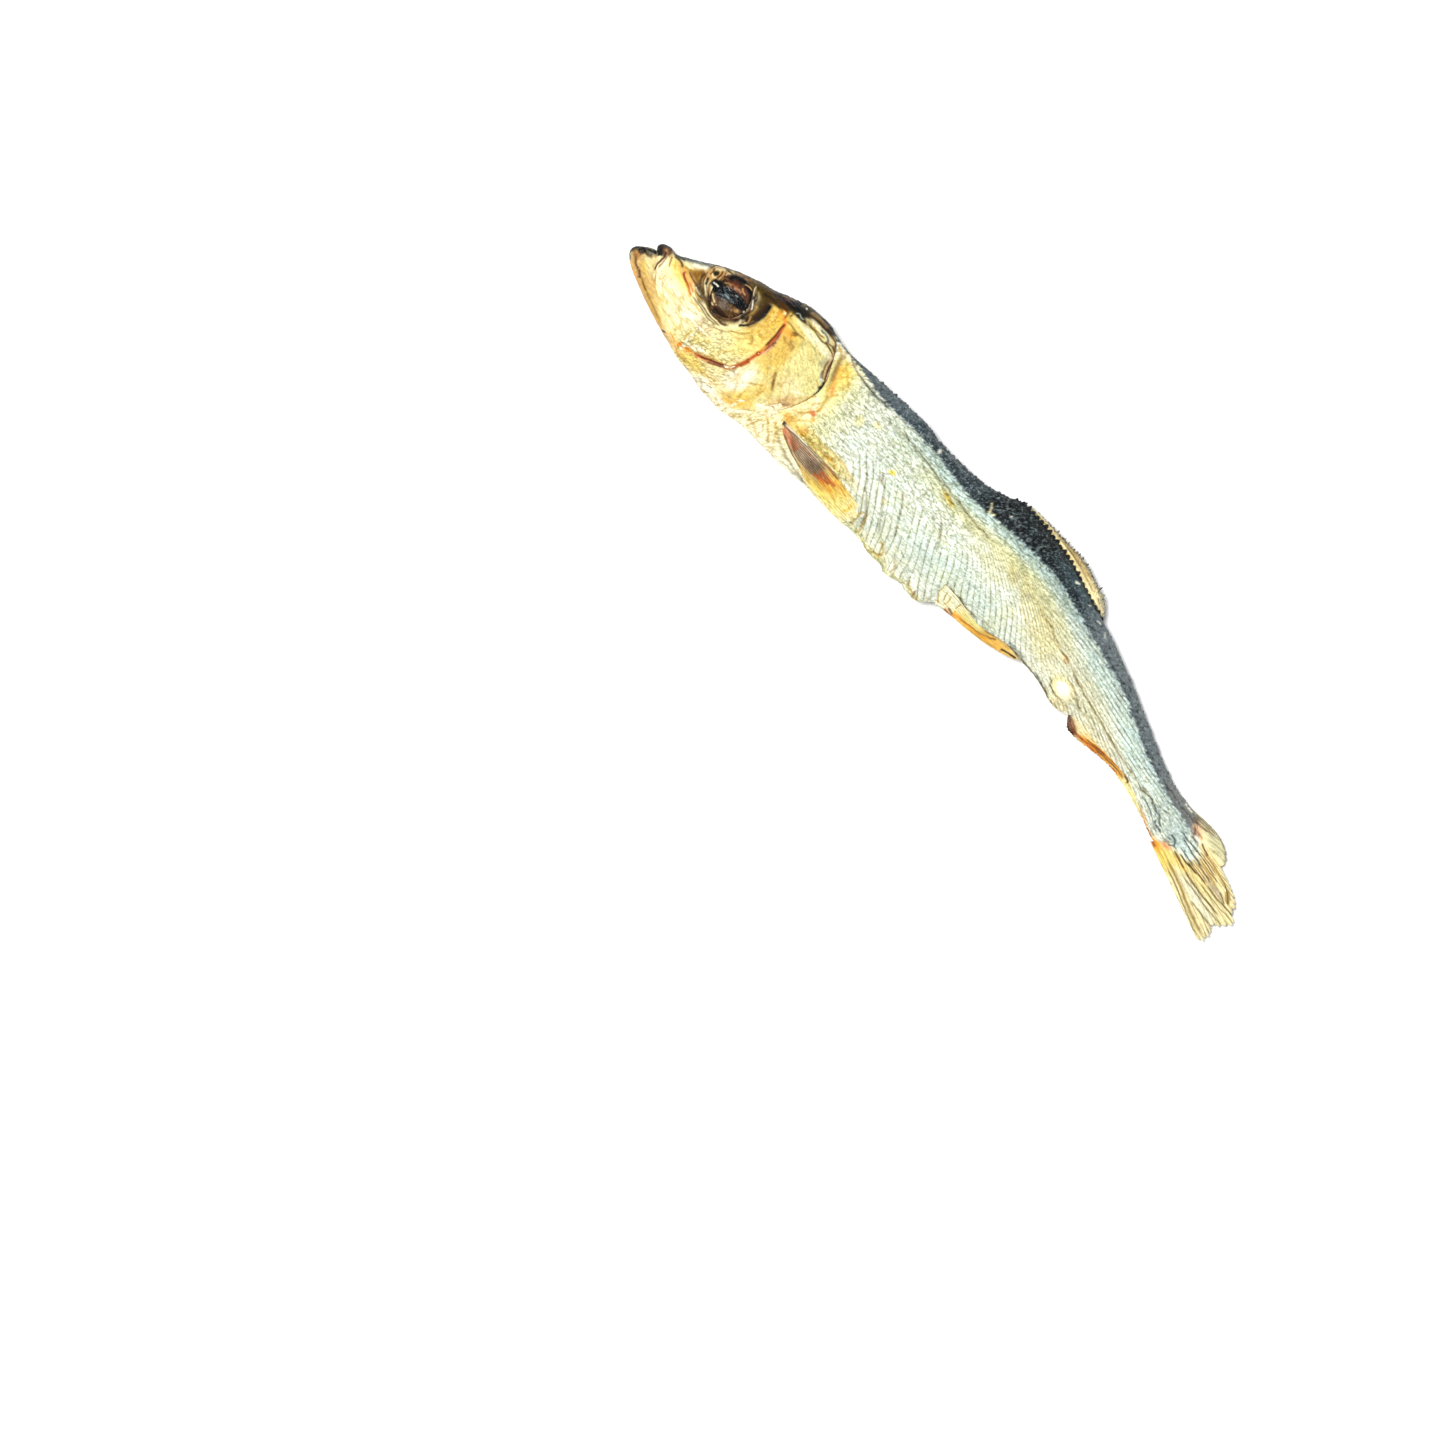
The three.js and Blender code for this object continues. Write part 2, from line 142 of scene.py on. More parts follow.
GILL_EDGE = (
    (0, 31), (0.05, 36), (0.12, 39.2), (0.23, 42.5), (0.4, 44.8), (0.58, 45.7), (0.7, 45.2), (0.8, 43.7),
    (0.88, 42.3), (0.94, 41), (0.97, 39.6), (1, 37.6),
)
# Where the dark back ends and the silver flank begins, as (x, y).
BACK_BAND = (
    (TRUNK_START, 20.3), (37, 20.6), (41, 20.75), (45, 20.6), (50, 20.2), (55, 19.9), (60, 20.3), (65, 20.9),
    (70, 21), (80, 20.7), (85, 21.3), (90, 22.3), (97, 23.2), (105, 23.6), (110, 23), (115, 22.2), (120, 21.3),
    (130, 19.4), (135, 18), (140, 16), (145, 14.3), (150, 13.3), (155, 12.5), (162, 11.9),
)

# How far back the ribs' grooves run for each millimetre down, as (x, lean).
RIB_LEAN = (
    (50, 1.1), (60, 0.95), (72, 0.85), (82, 0.58), (90, 0.75), (97, 1), (107, 1.2), (115, 1.6), (125, 2.3), (140, 3),
    (165, 4),
)
# The fine wrinkles of the flank run alongside this line.
FLOW_LINE = (
    (40, 9.4), (60, 10), (80, 10.6), (95, 12), (105, 12.8), (113, 13.2), (120, 12.9), (130, 12), (140, 10.8),
    (150, 9.8), (158, 9.2), (TRUNK_END, 9),
)

DORSAL_ROOT = ((87, 26.7), (91, 27.6), (95, 28.1), (101, 27.9), (106, 27.3), (112, 26), (117.4, 24.8))
DORSAL_EDGE = (
    (87.4, 27.6), (90, 28.7), (96, 29.6), (101, 29.9), (105, TOP_OF_DORSAL_FIN), (110, 29.3), (114.6, 28),
    (117.4, 25.2),
)
ANAL_ROOT = ((127.3, 8.3), (135, 8.3), (141, 8.8), (145, 8.5), (151, 6.6))
ANAL_EDGE = ((127.2, 7.7), (129.6, 5.7), (135, 6.5), (141, 7.4), (146, 7), (152.5, 5.7))
PECTORAL_TOP = ((45.2, 1.9), (50, 2.3), (55, 2.6), (60, 2.95), (65, 2.7), (69.7, 2.2))
PECTORAL_BOTTOM = ((45.6, 1.1), (48, -0.2), (51.5, -1.3), (55, -1.9), (58.5, -2.8), (65, -2.8), (70, -2.1))
PELVIC_TOP = ((91.6, 5.6), (95, 5.8), (98, 5.7), (101.5, 5.5), (104, 6), (108, 7.2), (112.4, 7.5))
PELVIC_BOTTOM = ((92.4, 1.5), (95, 2), (98, 2.6), (101, 3.1), (105, 4), (109, 5.3), (112.6, 6.9))
TAIL_BUNDLES = {
    "tail_rays_lower": dict(
        root=((157.2, 4), (160, 6.8), (162, 8.6)),
        end=((179, -1.6), (179.7, -0.4), (179.4, 1.5), (178, 2.5)),
        lift=0.3, rays=7,
    ),
    "tail_rays_middle": dict(
        root=((160, 6), (162.5, 9), (160.5, 12.6)),
        end=((177.8, 2.3), (179.6, 3.9), (TOTAL_LENGTH, 6), (179.3, 7.3), (178.6, 8.8), (175.5, 10.3), (171, 11.5)),
        lift=0.0, rays=13,
    ),
    "tail_rays_upper": dict(
        root=((160.5, 11.2), (158.5, 13), (156, 14.5)),
        end=((170.3, 11.2), (170.5, 12.9), (168.6, 14.5), (165, 15.4), (160.5, 15.1)),
        lift=-0.3, rays=8,
    ),
}

# ---- Curves, distances and noise, all on whole arrays ----

HASH_SIZE = 4096
HASH_PRIMES = (73856093, 19349663, 83492791)
NOISE_GAIN = 1.6
CLOUDS_SUM = 1.6


def smooth_step(f, start=0.0, width=1.0):
    """Rises from 0 to 1 as f goes from start to start + width, with no slope at either end. With a width below
    0 it falls from 1 to 0 as f goes from start + width up to start."""
    g = np.clip((f - start) / width, 0, 1)
    return g * g * (3 - 2 * g)


def bump(f, centre=0.0, width=1.0):
    """A bell: 1 where f is at the centre, falling off as exp(-g squared), g the distance over the width."""
    g = (f - centre) / width
    return np.exp(-g * g)


def through(stations):
    """A smooth function through (x, y) stations: cubic Hermite spans, whose slope at a station is that of the
    line between its two neighbours."""
    xs, ys = np.array(stations, float).T
    before = np.maximum(np.arange(len(xs)) - 1, 0)
    after = np.minimum(np.arange(len(xs)) + 1, len(xs) - 1)
    slope = (ys[after] - ys[before]) / (xs[after] - xs[before])

    def curve(x):
        x = np.clip(np.asarray(x, float), xs[0], xs[-1])
        i = np.clip(np.searchsorted(xs, x, side="right") - 1, 0, len(xs) - 2)
        span = xs[i + 1] - xs[i]
        f = (x - xs[i]) / span
        h = f * f * (3 - 2 * f)
        tangents = slope[i] * span * f * (1 - f) ** 2 - slope[i + 1] * span * f * f * (1 - f)
        return ys[i] * (1 - h) + ys[i + 1] * h + tangents

    return curve


def round_from(stations):
    """The same, measured by the root of the distance from the first station, so that it ends round there."""
    start = stations[0][0]
    curve = through([(math.sqrt(x - start), y) for x, y in stations])
    return lambda x: curve(np.sqrt(np.maximum(np.asarray(x, float) - start, 0)))


def line_at(points, f):
    """x and y at shares f of the length of a smooth line through points: each is a Hermite curve over the
    length of the straight pieces so far."""
    points = np.array(points, float)
    lengths = np.concatenate([[0], np.cumsum(np.hypot(*np.diff(points, axis=0).T))])
    shares = lengths / lengths[-1]
    return through(np.column_stack([shares, points[:, 0]]))(f), through(np.column_stack([shares, points[:, 1]]))(f)


def nearest(x, y, points):
    """For each place: its distance to the smooth line through points, how far along the line the nearest
    point lies, in millimetres, the side it is on (1 left, -1 right), and the line's length."""
    steps = 6 * (len(points) - 1)
    lx, ly = line_at(points, np.linspace(0, 1, steps + 1)) if len(points) > 2 else np.array(points, float).T
    best = np.full(x.shape, np.inf)
    along = np.zeros(x.shape)
    side = np.ones(x.shape)
    done = 0.0
    for ax, ay, bx, by in zip(lx[:-1], ly[:-1], lx[1:], ly[1:]):
        dx, dy = bx - ax, by - ay
        length = math.hypot(dx, dy)
        f = np.clip(((x - ax) * dx + (y - ay) * dy) / length**2, 0, 1)
        distance = np.hypot(x - ax - f * dx, y - ay - f * dy)
        nearer = distance < best
        best = np.where(nearer, distance, best)
        along = np.where(nearer, done + f * length, along)
        side = np.where(nearer, np.sign(dx * (y - ay) - dy * (x - ax)), side)
        done += length
    return best, along, side, done


def noise(seed, *axes):
    """Gradient noise, mostly from -0.5 to 0.5: a random slope at each corner of a unit grid, joined by smooth
    steps along each axis. A corner's slope is picked by a hash of its whole coordinates."""
    slopes = np.random.default_rng(seed).normal(size=(HASH_SIZE, len(axes)))
    slopes /= np.linalg.norm(slopes, axis=1, keepdims=True)
    whole = [np.floor(a).astype(np.int64) for a in axes]
    share = [a - w for a, w in zip(axes, whole)]
    total = 0
    for corner in itertools.product((0, 1), repeat=len(axes)):
        key = 0
        weight = 1
        for c, w, f, prime in zip(corner, whole, share, HASH_PRIMES):
            key = key ^ ((w + c) * prime)
            weight = weight * (smooth_step(f) if c else 1 - smooth_step(f))
        slope = slopes[(key ^ (key >> 13)) % HASH_SIZE]
        total = total + weight * sum(slope[..., k] * (share[k] - corner[k]) for k in range(len(axes)))
    return NOISE_GAIN * total


def clouds(seed, *axes, octaves=3):
    """Noise summed over octaves, each half as large and half as strong as the one before."""
    total = 0
    for k in range(octaves):
        total = total + noise(seed + 31 * k, *(a * 2**k for a in axes)) / 2**k
    return total / CLOUDS_SUM


def blur(field, rounds):
    """Averages a ring grid with its neighbours, along the rings and round them."""
    for _ in range(rounds):
        ends = np.pad(field, ((1, 1), (0, 0)), mode="edge")
        field = (ends[:-2] + 2 * field + ends[2:]) / 4
        field = (np.roll(field, 1, axis=1) + 2 * field + np.roll(field, -1, axis=1)) / 4
    return field


back_line = round_from(BACK_LINE)
belly_line = round_from(BELLY_LINE)
jaw_top = round_from(JAW_TOP_LINE)
jaw_bottom = round_from(JAW_BOTTOM_LINE)
half_thickness = round_from(HALF_THICKNESS)
jaw_half_thickness = round_from(JAW_HALF_THICKNESS)
midplane = through(MIDPLANE)
gill_edge = through(GILL_EDGE)
flow_line = through(FLOW_LINE)
back_band = through(BACK_BAND)
rib_lean = through(RIB_LEAN)


def fullness(t, thinning):
    """The flank's thickness as a share of the widest, at share t of the depth: a blunt oval, fuller in the
    back, thinned towards the belly's keel."""
    oval = np.sqrt(np.maximum(1 - np.abs(1 - 2 * t) ** OVAL_POWER, 0))
    taper = 0.82 + 0.36 * t - 0.18 * t * t
    return oval * taper * (1 - thinning * (1 - smooth_step(t / KEEL_SHARE)))


def socket(x, y):
    """How far the skin sinks round the eye: a dish with a soft rim."""
    r = np.hypot(x - SOCKET_CENTRE[0], y - SOCKET_CENTRE[1]) / SOCKET_RADIUS
    return SOCKET_DEPTH * (1 - smooth_step(r, 0.55, 0.45))


def section(top, under):
    """Places round a section from the belly: top of them over the left flank, under of them below the right.
    Gives each one's flank, 1 left and -1 right, and its share of the depth, (1 - cos a) / 2 at angle a. The
    angles are drawn together by RING_GATHER where the section is flattest."""
    def half(count):
        s = np.arange(count) / count
        return math.pi * (s + RING_GATHER * np.sin(2 * math.pi * s) / (2 * math.pi))
    a = np.concatenate([half(top), math.pi + half(under)])[None, :]
    return np.where(np.sin(a) >= 0, 1.0, -1.0), (1 - np.cos(a)) / 2


# ---- Pigments and relief of a surface ----

STROKE_SPREAD = 0.04  # how much wider a stroke runs than its entry says
LINE_TAPER = 0.15  # the share of a stroke over which each end fades
END_STRENGTH = 0.15  # how far along its fade a stroke begins


class Coat:
    """Relief, in millimetres, and pigments over a grid of places in the side view.

    Each pigment has a weight at each place. Laying one on with an amount a takes every weight down to (1 - a)
    of itself and adds a to its own, so later marks cover earlier ones. Marks are placed in x and y, shaken a
    little by noise. The noise runs through z too, so the two flanks differ and still meet at their edges."""

    def __init__(self, points, colours, base, seed, wobble=1.0):
        x, y, z = np.moveaxis(points, -1, 0)
        self.colours = colours
        self.weights = {base: np.ones(x.shape)}
        self.relief = np.zeros(x.shape)
        self.masks = {}
        self.places = {"thread_place": points}
        self.seed = seed
        self.depth = z / FLANK_NOISE_DEPTH
        self.x = x + wobble * (0.30 * self.noise(1, x / 1.9, y / 1.9) + 0.12 * self.noise(2, x / 0.6, y / 0.6))
        self.y = y + wobble * (0.30 * self.noise(3, x / 1.9, y / 1.9) + 0.12 * self.noise(4, x / 0.6, y / 0.6))

    def noise(self, salt, u, v):
        return noise(self.seed + salt, u, v, self.depth)

    def clouds(self, salt, u, v, octaves=3):
        return clouds(self.seed + salt, u, v, self.depth, octaves=octaves)

    def lay(self, amount, relief=0.0, **pigments):
        """Adds relief and lays pigments on, each to its strength times the amount."""
        self.relief = self.relief + relief * amount
        for name, strength in pigments.items():
            cover = np.clip(strength * amount, 0, 1)
            for other in self.weights:
                self.weights[other] = self.weights[other] * (1 - cover)
            self.weights[name] = self.weights.get(name, 0) + cover

    def stroke(self, line, width, taper=LINE_TAPER, **what):
        """A soft line through places, as a bell across it, that fades over the taper's share at each end."""
        distance, along, _, length = nearest(self.x, self.y, line)
        fade = np.ones(distance.shape)
        if taper:
            share = along / length
            fade = smooth_step(share / taper + END_STRENGTH) * smooth_step((1 - share) / taper + END_STRENGTH)
        self.lay(bump(distance / (width + STROKE_SPREAD)) * fade, **what)

    def spot(self, centre, radii, turn=0.0, soft=0.5, **what):
        """An ellipse, turned by degrees, whose edge fades over the soft share of its radius."""
        c, s = math.cos(math.radians(turn)), math.sin(math.radians(turn))
        dx, dy = self.x - centre[0], self.y - centre[1]
        r = np.hypot((dx * c + dy * s) / radii[0], (dy * c - dx * s) / radii[1])
        self.lay(1 - smooth_step((r - 1 + soft) / (2 * soft)), **what)

    def marks(self, table):
        """Strokes and spots in order: a mark with a centre is a spot, any other is a stroke."""
        for mark in table:
            if "centre" in mark:
                self.spot(**mark)
            else:
                self.stroke(**mark)

    def wrinkles(self, u, v, length, spacing, window=1.0, width=0.16, salt=0, **what):
        """Wavy lines: where noise stretched by length along u and by spacing across v passes through zero."""
        self.lay(bump(self.noise(50 + salt, u / length, v / spacing) / width) * window, **what)

    def tint(self):
        """The colour at each place: the roots of the pigments' colours summed by weight, then squared, so that
        a little dark pigment shows on pale skin."""
        return sum(w[..., None] * np.sqrt(self.colours[name]) for name, w in self.weights.items()) ** 2

    def dark(self):
        """The share of dark pigments at each place."""
        return sum(self.weights.get(name, 0) for name in ("olive", "slate", "black", "brown", "plum"))

    def carry_on(self, count):
        """Repeats the last ring's coat over count more rings."""
        def longer(field):
            return np.concatenate([field, np.repeat(field[-1:], count, axis=0)])
        self.weights = {name: longer(weight) for name, weight in self.weights.items()}
        self.masks = {name: longer(mask) for name, mask in self.masks.items()}
        self.places = {name: longer(place) for name, place in self.places.items()}
        self.relief = longer(self.relief)

    def hollow_shade(self, depth=0.11, rounds=14):
        """How deep a place lies under the skin round it, from 0 to 1. The shader darkens the hollows by it as painted
        shade.
        """
        return np.clip((blur(self.relief, rounds) - self.relief) / depth, 0, 1)


# ---- Surfaces ----


def outward_normals(points):
    """Unit normals of a ring grid, from the cross product of its two directions."""
    along = np.gradient(points, axis=0)
    around = (np.roll(points, -1, axis=1) - np.roll(points, 1, axis=1)) / 2
    normals = np.cross(along, around)
    normals /= np.maximum(np.linalg.norm(normals, axis=-1, keepdims=True), 1e-9)
    outward = points - points.mean(axis=1, keepdims=True)
    return normals if (normals * outward).sum() > 0 else -normals


def raised(points, relief):
    """The grid moved out along its normals by the relief."""
    return points + outward_normals(points) * relief[..., None]


def over_table(points):
    """Keeps a surface on the table: z becomes half of z plus the root of z squared plus TABLE_ROUNDING squared."""
    z = points[..., 2]
    lifted = points.copy()
    lifted[..., 2] = (z + np.sqrt(z * z + TABLE_ROUNDING**2)) / 2
    return lifted


def place_in_row(points):
    """From the snout frame in millimetres to the row's frame in metres."""
    return (points - np.array([*ROW_ORIGIN, 0])) * MM


def closed_skin(name, rings, coat, material):
    """A closed mesh through rings of points: quads between neighbouring rings and a fan to the middle of the
    first and the last ring. The coat's tint and masks become attributes of its points."""
    count, around = rings.shape[:2]
    poles = np.array([rings[0].mean(axis=0), rings[-1].mean(axis=0)])
    vertices = np.concatenate([rings.reshape(-1, 3), poles])
    number = np.arange(count * around).reshape(count, around)
    beside = np.roll(number, -1, axis=1)
    quads = np.stack([number[:-1], number[1:], beside[1:], beside[:-1]], axis=-1).reshape(-1, 4)
    start = np.stack([np.full(around, count * around), number[0], beside[0]], axis=-1)
    end = np.stack([number[-1], np.full(around, count * around + 1), beside[-1]], axis=-1)
    fans = np.concatenate([start, end])
    corners = vertices[quads]
    middle = vertices.mean(axis=0)
    volume = np.einsum(
        "ij,ij->i", corners[:, 0] - middle, np.cross(corners[:, 1] - middle, corners[:, 2] - middle)
    ).sum()
    if volume < 0:
        quads, fans = quads[:, ::-1], fans[:, ::-1]
    mesh = bpy.data.meshes.new(name)
    mesh.from_pydata(place_in_row(vertices).tolist(), [], quads.tolist() + fans.tolist())
    mesh.polygons.foreach_set("use_smooth", np.ones(len(mesh.polygons), bool))

    def with_poles(field):
        return np.concatenate([field.reshape(count * around, -1), field[[0, -1]].mean(axis=1).reshape(2, -1)])

    tint = with_poles(coat.tint())
    colour = mesh.attributes.new("tint", "FLOAT_COLOR", "POINT")
    colour.data.foreach_set("color", np.column_stack([tint, np.ones(len(tint))]).astype(np.float32).ravel())
    for name_of_place, place in coat.places.items():
        vectors = with_poles(place).astype(np.float32)
        mesh.attributes.new(name_of_place, "FLOAT_VECTOR", "POINT").data.foreach_set("vector", vectors.ravel())
    # The first attribute is the hollows' depth, by which the shader paints shade into them.
    for mask, field in {"hollow_shade": coat.hollow_shade(), **coat.masks}.items():
        values = np.clip(with_poles(np.broadcast_to(field, (count, around))), 0, 1)
        mesh.attributes.new(mask, "FLOAT", "POINT").data.foreach_set("value", values.astype(np.float32).ravel())
    mesh.materials.append(material)
    mesh.update()
    piece = bpy.data.objects.new(name, mesh)
    bpy.context.scene.collection.objects.link(piece)
    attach(piece, BODY)
    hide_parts(NODE)
    return piece


def blade_rings(x, y, top, bottom):
    """Flattened rings for a thin sheet: the top face read one way across, then the bottom face read back."""
    upper = np.stack([x, y, top], axis=-1)
    lower = np.stack([x, y, bottom], axis=-1)
    return np.concatenate([upper, lower[:, ::-1]], axis=1)


def both_faces(field):
    """A field over a sheet's grid, read the way blade_rings() reads its faces."""
    return np.concatenate([field, field[:, ::-1]], axis=1)


# ---- Tables of marks: places in the side view, in millimetres ----


def line(points, width, relief=0.0, **what):
    """A stroke's entry in a table of marks: where it runs, its half width, how far it stands out and what
    pigments it lays, in the order in which they cover each other."""
    return dict(line=points, width=width, relief=relief, **what)


def spot(centre, radii, turn=0.0, soft=0.5, **what):
    """A spot's entry in a table of marks: its turn is in degrees, and soft is the share that fades."""
    return dict(centre=centre, radii=radii, turn=turn, soft=soft, **what)


CREASE_TOP = ((31.0, 14.8), (31.6, 13), (32.0, 11), (32.2, 8.6), (32.0, 6))
CREASE_BOTTOM = ((32.1, 7), (31.9, 4.6), (31.3, 2), (30.4, 0), (29.2, -0.7), (27, -1.8), (24.3, -3.1))
MAXILLA_EDGE = ((5.6, 2.5), (6.2, -0.3), (8.7, -2), (12.5, -3.2), (18, -4.2), (24, -4), (29, -2.3), (31.3, 0.8))

